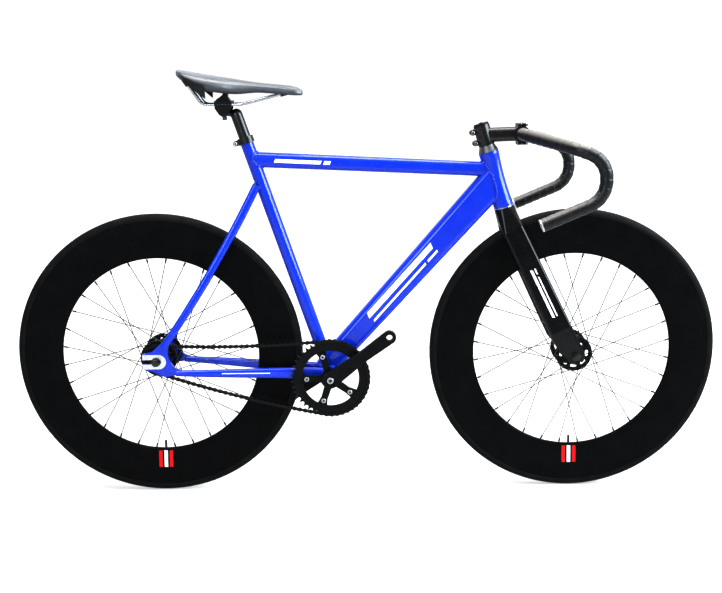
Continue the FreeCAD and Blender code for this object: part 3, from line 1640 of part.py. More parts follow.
os.makedirs("parts", exist_ok=True)
for name, made in nodes.items():
    solids = made if isinstance(made, list) else [made]
    shape = solids[0] if len(solids) == 1 else Part.makeCompound(solids)
    shape.exportStep(os.path.join("parts", name + ".step"))
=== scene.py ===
import math
import bmesh
import bpy
from mathutils import Matrix, Vector
from mathutils.bvhtree import BVHTree


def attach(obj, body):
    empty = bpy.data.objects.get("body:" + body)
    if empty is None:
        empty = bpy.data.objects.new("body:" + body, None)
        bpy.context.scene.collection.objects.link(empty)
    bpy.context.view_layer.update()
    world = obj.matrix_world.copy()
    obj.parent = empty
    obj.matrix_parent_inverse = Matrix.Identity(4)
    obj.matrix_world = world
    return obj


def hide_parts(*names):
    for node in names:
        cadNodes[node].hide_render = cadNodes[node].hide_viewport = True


# Fixed gear bike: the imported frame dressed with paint, rubber, tape, chain, saddle, bolt caps and welds
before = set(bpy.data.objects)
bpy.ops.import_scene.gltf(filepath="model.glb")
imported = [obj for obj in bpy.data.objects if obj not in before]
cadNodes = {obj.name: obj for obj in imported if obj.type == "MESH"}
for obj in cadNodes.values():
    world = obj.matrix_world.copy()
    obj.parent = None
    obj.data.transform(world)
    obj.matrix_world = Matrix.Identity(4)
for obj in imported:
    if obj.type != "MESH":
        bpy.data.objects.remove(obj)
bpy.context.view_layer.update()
print("frame loaded,", len(cadNodes), "nodes")


def newObject(name, data):
    made = bpy.data.objects.new(name, data)
    bpy.context.scene.collection.objects.link(made)
    return made


# Camera at the photograph's angle

photoView = {
    "place": (-0.01045, -2.3788, 0.9639), "tiltDown": 0.2056, "roll": -0.0126,
    "focalPixels": 1042.35, "imageWidth": 722, "sensorWidth": 36.0, "clip": (0.01, 100.0),
}


def placeCamera(v):
    data = bpy.data.cameras.new("photoCamera")
    data.sensor_fit = "HORIZONTAL"
    data.sensor_width = v["sensorWidth"]
    data.lens = v["focalPixels"] / v["imageWidth"] * v["sensorWidth"]
    data.clip_start, data.clip_end = v["clip"]
    camera = newObject("photoCamera", data)
    turn = Matrix.Rotation(math.pi / 2 - v["tiltDown"], 4, "X") @ Matrix.Rotation(v["roll"], 4, "Z")
    camera.matrix_world = Matrix.Translation(v["place"]) @ turn
    bpy.context.scene.camera = camera


placeCamera(photoView)


# Node helpers

socketKinds = {
    "Vector": "Vector", "Colour": "Color", "Dust": "Color", "Geometry": "Geometry", "Material": "Material",
    "Collar Finish": "Material", "Socket Shade Finish": "Material", "Collar": "Object", "Socket Shade": "Object",
    "Inner Link": "Object", "Outer Link": "Object",
}


def newGroup(name, inputs, outputs, kind="ShaderNodeTree"):  # a socket is a number if its label isn't above
    group = bpy.data.node_groups.new(name, kind)
    for way, labels in (("INPUT", inputs), ("OUTPUT", outputs)):
        for label in labels:
            socket = "NodeSocket" + socketKinds.get(label, "Float")
            group.interface.new_socket(name=label, in_out=way, socket_type=socket)
    given, out = group.nodes.new("NodeGroupInput"), group.nodes.new("NodeGroupOutput")
    return group, given.outputs, out.inputs


def link(start, end):
    start.id_data.links.new(start, end)


def newNode(tree, kind, inputs=None, **settings):
    node = tree.nodes.new(kind)
    for name, value in settings.items():
        setattr(node, name, value)
    for key, value in (inputs or {}).items():
        if isinstance(value, bpy.types.NodeSocket):
            link(value, node.inputs[key])
        else:
            node.inputs[key].default_value = value
    return node


def addNode(kind, inputs, **settings):  # outputs of a new node, in the tree of what leads into it
    sockets = [value for value in inputs.values() if isinstance(value, bpy.types.NodeSocket)]
    return newNode(sockets[0].id_data, kind, inputs, **settings).outputs


def useGroup(group, inputs):
    return addNode("ShaderNodeGroup", inputs, node_tree=group)


def maths(operation, a, b=0.0):
    return addNode("ShaderNodeMath", {0: a, 1: b}, operation=operation)[0]


def times(a, b):
    return maths("MULTIPLY", a, b)


def vectorMaths(operation, inputs):
    return addNode("ShaderNodeVectorMath", inputs, operation=operation)[0]


def splitVector(vector):
    return addNode("ShaderNodeSeparateXYZ", {0: vector})


def mixColour(factor, a, b):
    return addNode("ShaderNodeMix", {0: factor, 6: a, 7: b}, data_type="RGBA")[2]


def ranged(value, start, end, low=0.0, high=1.0):
    spans = {"Value": value, "From Min": start, "From Max": end, "To Min": low, "To Max": high}
    return addNode("ShaderNodeMapRange", spans)[0]


def noise(place, scale, detail, roughness=0.5, distortion=0.0):
    inputs = {"Vector": place, "Scale": scale, "Detail": detail, "Roughness": roughness,
              "Distortion": distortion}
    return addNode("ShaderNodeTexNoise", inputs)[0]


def emptyTree(owner):
    owner.use_nodes = True
    owner.node_tree.nodes.clear()
    return owner.node_tree


# Shared effects

def makeHandling():  # uneven polish from handling: roughness that wanders between two values
    group, given, out = newGroup("handlingMarks", ("Vector", "Scale", "Low", "High"), ("Roughness",))
    broad = noise(given["Vector"], given["Scale"], detail=5.0, roughness=0.62)
    link(ranged(broad, 0.3, 0.7, given["Low"], given["High"]), out["Roughness"])
    return group


def makeDust():  # a thin uneven veil of dust over a colour
    group, given, out = newGroup("dustVeil", ("Vector", "Colour", "Dust", "Amount", "Scale"), ("Colour",))
    cloud = noise(given["Vector"], given["Scale"], detail=6.0, roughness=0.7)
    held = ranged(cloud, 0.42, 0.75, 0.0, given["Amount"])
    link(mixColour(held, given["Colour"], given["Dust"]), out["Colour"])
    return group


def makeGrain():  # fine pebbled grain of moulded plastic, rubber and saddle skin
    group, given, out = newGroup("pebbleGrain", ("Vector", "Scale", "Unevenness"), ("Height", "Hollow"))
    place = {"Vector": given["Vector"], "Scale": given["Scale"]}
    cells = addNode("ShaderNodeTexVoronoi", place, feature="SMOOTH_F1")["Distance"]
    soft = noise(given["Vector"], given["Scale"], detail=3.0)
    uneven = times(soft, given["Unevenness"])
    link(maths("SUBTRACT", uneven, cells), out["Height"])
    link(ranged(cells, 0.35, 0.8), out["Hollow"])
    return group


def makeBand():  # one straight painted stripe with clean edges, from a place along and across a part
    sockets = ("Along", "Across", "Start", "End", "Middle", "Half Width", "Slant")
    group, given, out = newGroup("paintedBand", sockets, ("Mask",))
    across = maths("SUBTRACT", given["Across"], given["Middle"])
    along = maths("SUBTRACT", given["Along"], times(across, given["Slant"]))
    after = maths("GREATER_THAN", along, given["Start"])
    before = maths("LESS_THAN", along, given["End"])
    inside = maths("LESS_THAN", maths("ABSOLUTE", across), given["Half Width"])
    link(times(times(after, before), inside), out["Mask"])
    return group


def makePolar():  # radius, angle and side of a point about a wheel's or sprocket's middle
    group, given, out = newGroup("turnedPlace", ("Vector",), ("Radius", "Angle", "Side"))
    x, y, z = splitVector(given["Vector"])
    square = maths("ADD", times(x, x), times(z, z))
    link(maths("SQRT", square), out["Radius"])
    link(maths("ARCTAN2", z, x), out["Angle"])
    link(maths("ABSOLUTE", y), out["Side"])
    return group


handlingMarks = makeHandling()
dustVeil = makeDust()
pebbleGrain = makeGrain()
paintedBand = makeBand()
turnedPlace = makePolar()
print("shared effects ready")


# Steps that the finishes share

def newFinish(name, constants):
    material = bpy.data.materials.new(name)
    tree = emptyTree(material)
    shader = newNode(tree, "ShaderNodeBsdfPrincipled", constants)
    addNode("ShaderNodeOutputMaterial", {"Surface": shader.outputs[0]})
    return material, shader, newNode(tree, "ShaderNodeTexCoord").outputs["Object"]


def veiled(place, colour, dust, amount, scale):
    inputs = {"Vector": place, "Colour": colour, "Dust": dust, "Amount": amount, "Scale": scale}
    return useGroup(dustVeil, inputs)["Colour"]


def paintOn(shader, place, colour, scale, low, high):  # colour, and roughness between low and high
    marks = {"Vector": place, "Scale": scale, "Low": low, "High": high}
    link(colour, shader.inputs["Base Color"])
    link(useGroup(handlingMarks, marks)["Roughness"], shader.inputs["Roughness"])


def addBumps(shader, *layers):  # height, distance and strength of each layer, the lowest first
    below = {}
    for height, distance, strength in layers:
        inputs = {"Height": height, "Distance": distance, "Strength": strength, **below}
        below = {"Normal": addNode("ShaderNodeBump", inputs)["Normal"]}
    link(below["Normal"], shader.inputs["Normal"])


def grainOf(place, scale, unevenness=0.4):
    return useGroup(pebbleGrain, {"Vector": place, "Scale": scale, "Unevenness": unevenness})


def attributeOf(place, name):
    return newNode(place.id_data, "ShaderNodeAttribute", attribute_name=name).outputs["Fac"]


def centredOn(place, point, lean=0.0):  # a part's own axes: its middle or start, turned by its lean
    inputs = {"Vector": place, "Location": point, "Rotation": (0.0, -lean, 0.0)}
    return addNode("ShaderNodeMapping", inputs, vector_type="TEXTURE")[0]


def addStripes(place, s, colour):
    lean = math.atan2(s["to"][2] - s["from"][2], s["to"][0] - s["from"][0])
    along, side, across = splitVector(centredOn(place, s["from"], lean))
    outer = maths("GREATER_THAN", maths("ABSOLUTE", side), s["side"])
    for start, end, middle, half, shade in s["bands"]:
        inputs = {"Along": along, "Across": across, "Start": start, "End": end, "Middle": middle,
                  "Half Width": half, "Slant": s["slant"]}
        mask = times(useGroup(paintedBand, inputs)["Mask"], outer)
        colour = mixColour(mask, colour, shade)
    return colour


# Plain stripes on the tubes: start, end, middle, half width and colour of each, along and across a line

stripeWhite = (0.86, 0.87, 0.88, 1)
downTubeStripes = {
    "from": (-0.09763, 0.0, 0.2965), "to": (0.30029, 0.0, 0.73878), "slant": 0.5, "side": 0.012,
    "bands": ((0.165, 0.385, 0.0095, 0.0065, stripeWhite), (0.165, 0.345, -0.0085, 0.0025, stripeWhite),
              (0.352, 0.385, -0.0085, 0.0025, stripeWhite)),
}
topTubeStripes = {
    "from": (-0.25155, 0.0, 0.7888), "to": (0.29429, 0.0, 0.75943), "slant": 0.4, "side": 0.01,
    "bands": ((0.05, 0.155, 0.0, 0.0042, stripeWhite), (0.161, 0.176, 0.0, 0.0042, stripeWhite)),
}
chainstayStripes = {
    "from": (-0.4386, 0.0, 0.306), "to": (-0.0986, 0.0, 0.29), "slant": 0.4, "side": 0.02,
    "bands": ((0.105, 0.215, 0.0015, 0.0011, stripeWhite),),
}
forkStripes = {
    "from": (0.4826, 0.0, 0.334), "to": (0.342, 0.0, 0.627), "slant": 0.5, "side": 0.03,
    "bands": ((0.105, 0.225, 0.0085, 0.0030, stripeWhite), (0.105, 0.205, 0.0, 0.0016, stripeWhite),
              (0.211, 0.225, 0.0, 0.0016, stripeWhite)),
}


# Blue lacquer

lacquer = {
    "blue": (0.0025, 0.034, 0.48, 1), "deepBlue": (0.0018, 0.022, 0.4, 1), "flake": (0.006, 0.06, 0.72, 1),
    "dust": (0.25, 0.27, 0.32, 1),
    "gloss": {"Coat Weight": 0.6, "Coat Roughness": 0.07, "Specular IOR Level": 0.12},
}


def lacquerFinish(name, stripes=None):
    material, shader, place = newFinish(name, lacquer["gloss"])
    cloud = noise(place, scale=6.0, detail=2.0)
    colour = mixColour(cloud, lacquer["blue"], lacquer["deepBlue"])
    flake = addNode("ShaderNodeTexVoronoi", {"Vector": place, "Scale": 2600.0})["Color"]
    colour = mixColour(ranged(flake, 0.72, 1.0, high=0.35), colour, lacquer["flake"])
    if stripes:
        colour = addStripes(place, stripes, colour)
    colour = veiled(place, colour, lacquer["dust"], amount=0.02, scale=34.0)
    paintOn(shader, place, colour, scale=40.0, low=0.2, high=0.34)
    addBumps(shader, (noise(place, scale=420.0, detail=2.0), 0.00006, 0.35))
    return material


plainLacquer = lacquerFinish("blueLacquer")
downLacquer = lacquerFinish("blueLacquerDownTube", downTubeStripes)
topLacquer = lacquerFinish("blueLacquerTopTube", topTubeStripes)
stayLacquer = lacquerFinish("blueLacquerChainstay", chainstayStripes)


# Black and bright metals

alloyBlack = {"colour": (0.004, 0.004, 0.0043, 1), "dust": (0.03, 0.03, 0.032, 1), "coatRoughness": 0.06}


def blackAlloyFinish(name, low=0.3, high=0.46, level=0.09, coat=0.0, stripes=None):
    material, shader, place = newFinish(name, {
        "Specular IOR Level": level, "Coat Weight": coat, "Coat Roughness": alloyBlack["coatRoughness"]})
    shade = alloyBlack["colour"]
    if stripes:
        shade = addStripes(place, stripes, shade)
    shade = veiled(place, shade, alloyBlack["dust"], amount=0.12, scale=60.0)
    paintOn(shader, place, shade, scale=70.0, low=low, high=high)
    addBumps(shader, (noise(place, scale=1500.0, detail=2.0), 0.00003, 0.4))
    return material


blackAlloy = blackAlloyFinish("blackAnodised")
polishedBlack = blackAlloyFinish("blackPolished", low=0.22, high=0.34, level=0.42)
forkBlack = blackAlloyFinish("forkBlackGloss", low=0.2, high=0.32, level=0.06, coat=0.3, stripes=forkStripes)
crownBlack = blackAlloyFinish("crownBlackGloss", low=0.2, high=0.32, level=0.06, coat=0.3)
sprocketLooks = {"black": (0.005, 0.005, 0.0053, 1), "worn": (0.08, 0.08, 0.08, 1), "turningLines": 9000.0}


def sprocketFinish(name, centre, tipRadius, rimRadius):  # black ring, worn bright where the chain runs
    material, shader, place = newFinish(name, {"Specular IOR Level": 0.1})
    radius = useGroup(turnedPlace, {"Vector": centredOn(place, centre)})["Radius"]
    worn = ranged(radius, rimRadius, tipRadius, high=0.6)
    amount = times(worn, noise(place, scale=260.0, detail=4.0))
    colour = mixColour(amount, sprocketLooks["black"], sprocketLooks["worn"])
    paintOn(shader, place, colour, scale=80.0, low=0.28, high=0.45)
    rings = maths("SINE", times(radius, sprocketLooks["turningLines"]))
    addBumps(shader, (rings, 0.00002, 0.25))
    return material


wheelPlaces = {"rear": (-0.4826, 0.0, 0.334), "front": (0.4826, 0.0, 0.334)}
ringBlack = sprocketFinish("chainringBlack", (-0.08363, 0.0, 0.284), tipRadius=0.0925, rimRadius=0.086)
cogDark = sprocketFinish("cogDarkSteel", wheelPlaces["rear"], tipRadius=0.036, rimRadius=0.029)
metalLooks = {"dust": (0.12, 0.115, 0.11, 1), "stretch": (1.0, 8.0, 1.0)}


def metalFinish(name, colour, low, high, lines, metal=1.0, dust=0.15, scale=90.0):
    material, shader, place = newFinish(name, {"Metallic": metal})
    shade = veiled(place, colour, metalLooks["dust"], dust, scale)
    paintOn(shader, place, shade, scale, low, high)
    stretched = addNode("ShaderNodeMapping", {"Vector": place, "Scale": metalLooks["stretch"]})[0]
    addBumps(shader, (noise(stretched, scale=700.0, detail=3.0), 0.00003, lines))
    return material


coverGrey = metalFinish("coverGrey", (0.2, 0.2, 0.195, 1), 0.28, 0.42, lines=0.4)
boltSteel = metalFinish("boltSteel", (0.3, 0.3, 0.3, 1), 0.3, 0.45, lines=0.2)
silverAlloy = metalFinish("silverAlloy", (0.72, 0.73, 0.74, 1), 0.2, 0.38, lines=0.5)
brightSteel = metalFinish("brightSteel", (0.46, 0.465, 0.475, 1), 0.22, 0.36, lines=0.2)
darkSteel = metalFinish("darkSteel", (0.05, 0.05, 0.052, 1), 0.3, 0.48, lines=0.3)
spokeSteel = metalFinish("spokeSteel", (0.02, 0.02, 0.0205, 1), 0.3, 0.45, lines=0.1, metal=0.4, dust=0.05)
plugSilver = metalFinish("plugSilver", (0.6, 0.6, 0.61, 1), 0.25, 0.4, lines=0.1, metal=0.4)
chainBlack = metalFinish("chainOiledBlack", (0.005, 0.0049, 0.0047, 1), 0.28, 0.5, lines=0.2, metal=0.7,
                         dust=0.05, scale=300.0)


# Rims and tyres

rimRed = (0.62, 0.012, 0.015, 1)
rimLooks = {
    "black": (0.0032, 0.0032, 0.0034, 1), "dust": (0.012, 0.012, 0.0125, 1), "slant": 0.0, "side": 0.004,
    "bands": ((0.236, 0.276, -0.0125, 0.0042, rimRed), (0.236, 0.276, 0.0, 0.0042, (0.85, 0.85, 0.85, 1)),
              (0.236, 0.276, 0.0125, 0.0042, rimRed)),
}


def rimFinish(name, centre):  # black, with three short bars straight below the hub
    material, shader, place = newFinish(name, {"Specular IOR Level": 0.035})
    colour = veiled(place, rimLooks["black"], rimLooks["dust"], amount=0.2, scale=24.0)
    colour = addStripes(place, {**rimLooks, "from": centre, "to": (centre[0], 0.0, 0.0)}, colour)
    paintOn(shader, place, colour, scale=26.0, low=0.26, high=0.4)
    addBumps(shader, (noise(place, scale=240.0, detail=2.0), 0.00004, 0.3))
    return material


tyreLooks = {
    "black": (0.005, 0.005, 0.0052, 1), "dust": (0.03, 0.03, 0.029, 1), "worn": (0.02, 0.02, 0.0205, 1),
    "gloss": {"Specular IOR Level": 0.06, "Sheen Weight": 0.01, "Sheen Roughness": 0.5},
    "crownRadius": 0.3305, "outerRadius": 0.334, "grooveCount": 220.0, "grooveLean": 900.0,
    "grooveEdge": 0.72, "ribPitch": 0.0016, "ribShare": 0.12,
}


def tyreFinish(name, centre):  # leaning grooves on the crown, fine ribs on the sides
    t = tyreLooks
    material, shader, place = newFinish(name, t["gloss"])
    radius, angle, side = useGroup(turnedPlace, {"Vector": centredOn(place, centre)})
    chevron = maths("ADD", times(angle, t["grooveCount"]), times(side, t["grooveLean"]))
    groove = maths("GREATER_THAN", maths("SINE", chevron), t["grooveEdge"])
    onCrown = maths("GREATER_THAN", radius, t["crownRadius"])
    ribs = maths("SINE", times(radius, 2.0 * math.pi / t["ribPitch"]))
    casing = times(ribs, maths("SUBTRACT", 1.0, onCrown))
    height = maths("SUBTRACT", times(casing, t["ribShare"]), times(groove, onCrown))
    colour = veiled(place, t["black"], t["dust"], amount=0.2, scale=30.0)
    worn = ranged(radius, t["crownRadius"], t["outerRadius"], high=0.3)
    colour = mixColour(worn, colour, t["worn"])
    paintOn(shader, place, colour, scale=40.0, low=0.48, high=0.68)
    addBumps(shader, (grainOf(place, 1100.0)["Height"], 0.0001, 0.35), (height, 0.0004, 0.8))
    return material


# Saddle skin, moulded plastic, inner tubes and bar tape

saddleGloss = {"Specular IOR Level": 0.7, "Sheen Weight": 0.25, "Sheen Roughness": 0.35,
               "Sheen Tint": (0.8, 0.86, 1.0, 1)}
# painted shade on the saddle pad's lower side, rising from its foot
saddleFootShade = {"attribute": "rise", "from": 0.04, "to": 0.3, "colour": (0.006, 0.006, 0.007, 1)}
# how dark the painted shade in the grain's hollows is, as a share of the colour
hollowShadeShare = 0.45


def grainedFinish(name, colour, dust, low, high, scale, depth, gloss, footShade=None):
    material, shader, place = newFinish(name, gloss)
    grain = grainOf(place, scale)
    # painted shade: the hollows between the pebbles of the grain are darkened
    hollowShade = tuple(x * hollowShadeShare for x in colour[:3]) + (1,)
    shade = mixColour(grain["Hollow"], colour, hollowShade)
    shade = veiled(place, shade, dust, amount=0.2, scale=30.0)
    if footShade:  # painted shade: the skin darkens towards the foot of the pad, along its lower side
        footShaded = ranged(attributeOf(place, footShade["attribute"]), footShade["from"], footShade["to"], 1.0, 0.0)
        shade = mixColour(footShaded, shade, footShade["colour"])
    paintOn(shader, place, shade, scale=35.0, low=low, high=high)
    addBumps(shader, (grain["Height"], depth, 0.6))
    return material


saddleSkin = grainedFinish("saddleSkin", (0.05, 0.054, 0.066, 1), (0.13, 0.133, 0.145, 1), low=0.32,
                           high=0.46, scale=1000.0, depth=0.00014, gloss=saddleGloss, footShade=saddleFootShade)
saddlePlastic = grainedFinish("saddlePlastic", (0.006, 0.006, 0.0063, 1), (0.03, 0.03, 0.03, 1), low=0.4,
                              high=0.58, scale=1600.0, depth=0.00008, gloss={"Specular IOR Level": 0.25})
tubeRubber = grainedFinish("tubeRubber", (0.02, 0.02, 0.02, 1), (0.1, 0.1, 0.1, 1), low=0.55, high=0.75,
                           scale=1200.0, depth=0.0001, gloss={"Specular IOR Level": 0.3})
tapeLooks = {
    "black": (0.0045, 0.0045, 0.0047, 1), "fleck": (0.012, 0.012, 0.012, 1), "paintedTopLight": (0.17, 0.16, 0.15, 1),
    "edge": (0.002, 0.002, 0.002, 1), "dust": (0.04, 0.039, 0.038, 1), "edgeShare": 0.14, "topLightFrom": 0.3,
}


def tapeFinish(t):  # flecked black tape, painted lighter on its upper side as a painted highlight from above, with a dark line at each lap
    material, shader, place = newFinish("barTapeCork", {"Specular IOR Level": 0.3})
    flecks = addNode("ShaderNodeTexVoronoi", {"Vector": place, "Scale": 520.0})["Color"]
    colour = mixColour(ranged(flecks, 0.7, 1.0, high=0.7), t["black"], t["fleck"])
    # painted highlight: the tape turns grey where it faces up, standing in for the light from above
    paintedTopLight = ranged(attributeOf(place, "upside"), t["topLightFrom"], 1.0)
    colour = mixColour(paintedTopLight, colour, t["paintedTopLight"])
    edge = ranged(attributeOf(place, "lap"), 0.0, t["edgeShare"], 1.0, 0.0)
    colour = mixColour(edge, colour, t["edge"])
    colour = veiled(place, colour, t["dust"], amount=0.15, scale=40.0)
    paintOn(shader, place, colour, scale=60.0, low=0.3, high=0.42)
    creases = noise(place, scale=150.0, detail=4.0, distortion=1.2)
    grain = grainOf(place, 800.0, unevenness=0.6)["Height"]
    addBumps(shader, (creases, 0.0009, 0.3), (grain, 0.00025, 0.6))
    return material


tapeCork = tapeFinish(tapeLooks)

# Finishes of the nodes, black alloy where none is given
dressing = (
    (plainLacquer, "head_tube seat_tube bb_shell chainstay_left seatstay_right seatstay_left dropouts"),
    (topLacquer, "top_tube"),
    (downLacquer, "down_tube"),
    (stayLacquer, "chainstay_right"),
    (polishedBlack, "seatpost stem seat_collar"),
    (forkBlack, "fork_blade_right fork_blade_left"),
    (crownBlack, "fork_crown"),
    (ringBlack, "chainring"),
    (cogDark, "cog"),
    (silverAlloy, "dropout_plates"),
    (coverGrey, "headset_top_cover"),
    (boltSteel, "chainring_bolts crank_bolts"),
    (brightSteel, "crown_race bb_spindle headset_bearings bb_bearings rear_hub_bearings front_hub_bearings"),
    (brightSteel, "seat_collar_bolt stem_bolts saddle_rails"),
    (darkSteel, "lockring rear_axle rear_axle_nuts front_axle front_axle_nuts saddle_clamp_bolt"),
    (spokeSteel, "rear_spokes front_spokes"),
    (chainBlack, "chain"),
    (tubeRubber, "rear_inner_tube front_inner_tube"),
    (tapeCork, "bar_tape"),
    (plugSilver, "bar_end_plugs"),
    (saddleSkin, "saddle_cover"),
    (saddlePlastic, "saddle_shell"),
)
finishOf = {name: finish for finish, names in dressing for name in names.split()}
for end, centre in wheelPlaces.items():
    finishOf[end + "_rim"] = rimFinish(end + "RimBlack", centre)
    finishOf[end + "_tyre"] = tyreFinish(end + "TyreRubber", centre)
for name, node in cadNodes.items():
    node.data.materials.clear()
    node.data.materials.append(finishOf.get(name, blackAlloy))
print("finishes on", len(cadNodes), "nodes")


# Making and settling pieces

def newPiece(name, vertices, edges=(), faces=()):
    mesh = bpy.data.meshes.new(name)
    mesh.from_pydata([tuple(v) for v in vertices], [tuple(e) for e in edges], [tuple(f) for f in faces])
    mesh.update()
    return newObject(name, mesh)


def pieceFrom(shape, name, material=None):
    piece = newPiece(name, [])
    shape.to_mesh(piece.data)
    shape.free()
    if material:
        piece.data.materials.append(material)
    return piece


def linePiece(name, lines, closed):  # an edge from each point of a line to its next
    points, edges = [], []
    for line in lines:
        first, count = len(points), len(line)
        edges += [(first + k, first + (k + 1) % count) for k in range(count if closed else count - 1)]
        points += line
    return newPiece(name, points, edges)


def addField(piece, name, values, kind="FLOAT", part="value"):
    piece.data.attributes.new(name, kind, "POINT").data.foreach_set(part, values)


def dropHelper(piece):
    data = piece.data
    bpy.data.objects.remove(piece)
    bpy.data.meshes.remove(data)


def addBevel(piece, width, segments=3):
    edge = piece.modifiers.new("edge", "BEVEL")
    edge.width, edge.segments, edge.limit_method = width, segments, "ANGLE"


def settle(piece):  # modifiers become the piece's own mesh
    bpy.context.view_layer.update()
    graph = bpy.context.evaluated_depsgraph_get()
    done = piece.evaluated_get(graph)
    mesh = bpy.data.meshes.new_from_object(done, preserve_all_data_layers=True, depsgraph=graph)
    piece.modifiers.clear()
    old = piece.data
    piece.data = mesh
    bpy.data.meshes.remove(old)


def newTree(name, inputs):
    return newGroup(name, ("Geometry",) + inputs, ("Geometry",), "GeometryNodeTree")


def runTree(piece, tree, values):
    modifier = piece.modifiers.new(tree.name, "NODES")
    modifier.node_group = tree
    for item in tree.interface.items_tree:
        if item.item_type == "SOCKET" and item.in_out == "INPUT" and item.name in values:
            modifier[item.identifier] = values[item.name]
    settle(piece)


def finished(geometry, material, smooth):
    shading = {"Geometry": geometry, "Shade Smooth": smooth}
    shaded = addNode("GeometryNodeSetShadeSmooth", shading)[0]
    real = addNode("GeometryNodeRealizeInstances", {0: shaded})[0]
    return addNode("GeometryNodeSetMaterial", {"Geometry": real, "Material": material})[0]


def fieldOf(tree, name, kind="FLOAT"):
    return newNode(tree, "GeometryNodeInputNamedAttribute", {"Name": name}, data_type=kind).outputs[0]


def copiesOf(given, label, inputs):  # the object in one input, on the points
    shape = addNode("GeometryNodeObjectInfo", {"Object": given[label]})["Geometry"]
    inputs = {"Points": given["Geometry"], "Instance": shape, **inputs}
    return addNode("GeometryNodeInstanceOnPoints", inputs)[0]


def capture(geometry, items):  # fields kept from before the geometry changes
    node = newNode(geometry.id_data, "GeometryNodeCaptureAttribute", {"Geometry": geometry})
    for label, kind, field in items:
        node.capture_items.new(kind, label)
        link(field, node.inputs[label])
    return node.outputs


def tubeAlong(tree, given, sides, caps):  # a tube on the piece's edges, and places along, round and outwards
    position = newNode(tree, "GeometryNodeInputPosition").outputs[0]
    spline = newNode(tree, "GeometryNodeSplineParameter").outputs
    line = addNode("GeometryNodeMeshToCurve", {0: given["Geometry"]})[0]
    steps = {"Curve": line, "Length": given["step"]}
    even = addNode("GeometryNodeResampleCurve", steps, mode="LENGTH")[0]
    path = capture(even, (("Along", "FLOAT", spline["Length"]), ("Middle", "VECTOR", position)))
    circle = {"Resolution": sides, "Radius": given["radius"]}
    ring = addNode("GeometryNodeCurvePrimitiveCircle", circle)[0]
    ring = capture(ring, (("Around", "FLOAT", spline["Factor"]),))
    curves = {"Curve": path["Geometry"], "Profile Curve": ring["Geometry"], "Fill Caps": caps}
    tube = addNode("GeometryNodeCurveToMesh", curves)[0]
    away = vectorMaths("SUBTRACT", {0: position, 1: path["Middle"]})
    return tube, path["Along"], ring["Around"], vectorMaths("NORMALIZE", {0: away})


def pushOut(tube, outwards, rise):
    move = vectorMaths("SCALE", {0: outwards, "Scale": rise})
    return addNode("GeometryNodeSetPosition", {"Geometry": tube, "Offset": move})[0]


# Roller chain

chainSizes = {
    "pitch": 0.0127, "ringTeeth": 44, "cogTeeth": 16, "ringWrap": 24, "cogWrap": 8, "runLinks": 31,
    "centres": 0.40209281, "lean": math.radians(-7.143186), "cog": (-0.4826, -0.0435, 0.334),
    "plateHalfHeight": 0.0044, "waistHalfHeight": 0.0022, "plateThickness": 0.0011, "innerGap": 0.0035,
    "sideGap": 0.0001, "rollerRadius": 0.00385, "rollerSides": 12, "pinRadius": 0.0018, "pinSides": 8,
    "pinProud": 0.0002, "endTurn": 75, "endSteps": 6, "halvings": 60,
}


def wrapPoints(c, x, teeth, wrap, first):  # pins on a sprocket, from the first angle on
    radius, step = c["pitch"] / (2 * math.sin(math.pi / teeth)), 2 * math.pi / teeth
    turns = [first + k * step for k in range(wrap + 1)]
    return [Vector((x + radius * math.cos(a), 0, radius * math.sin(a))) for a in turns]


def chainPins(c):
    ringFirst = -math.pi * c["ringWrap"] / c["ringTeeth"]
    cogFirst = math.pi - math.pi * c["cogWrap"] / c["cogTeeth"]
    ring = wrapPoints(c, c["centres"], c["ringTeeth"], c["ringWrap"], ringFirst)
    cog = wrapPoints(c, 0.0, c["cogTeeth"], c["cogWrap"], cogFirst)
    loop = ring + slackRun(c, ring[-1], cog[0]) + cog + slackRun(c, ring[0], cog[-1])[::-1]
    turn = Matrix.Translation(c["cog"]) @ Matrix.Rotation(-c["lean"], 4, "Y")
    return [turn @ p for p in loop]


def slackRun(c, start, end):  # links of one run, hanging in a shallow arc below its chord
    count, chord = c["runLinks"], (end - start).length
    low, high = 0.0, math.pi / count
    for _ in range(c["halvings"]):
        turn = (low + high) / 2
        if math.sin(count * turn / 2) / math.sin(turn / 2) > chord / c["pitch"]:
            low = turn
        else:
            high = turn
    radius = c["pitch"] / (2 * math.sin(turn / 2))
    along = (end - start).normalized()
    down = Vector((along.z, 0, -along.x))
    down = down if down.z < 0 else -down
    middle = (start + end) / 2 - down * (radius * math.cos(count * turn / 2))
    turns = [(k - count / 2) * turn for k in range(1, count)]
    return [middle + down * (radius * math.cos(a)) + along * (radius * math.sin(a)) for a in turns]


def plateOutline(c):
    points = []
    half, tall = c["pitch"] / 2, c["plateHalfHeight"]
    for sign in (1, -1):
        for k in range(c["endSteps"] + 1):
            a = math.radians(c["endTurn"] * (2 * k / c["endSteps"] - 1))
            points.append((sign * (half + tall * math.cos(a)), sign * tall * math.sin(a)))
        points.append((0.0, sign * c["waistHalfHeight"]))
    return points


def circleOutline(x, radius, sides):
    turns = [2 * math.pi * k / sides for k in range(sides)]
    return [(x + radius * math.cos(a), radius * math.sin(a)) for a in turns]


def addPrism(shape, outline, yFrom, yTo):
    low = [shape.verts.new((x, yFrom, z)) for x, z in outline]
    high = [shape.verts.new((x, yTo, z)) for x, z in outline]
    shape.faces.new(low)
    shape.faces.new(high[::-1])
    for k in range(len(outline)):
        n = (k + 1) % len(outline)
        shape.faces.new((low[k], high[k], high[n], low[n]))


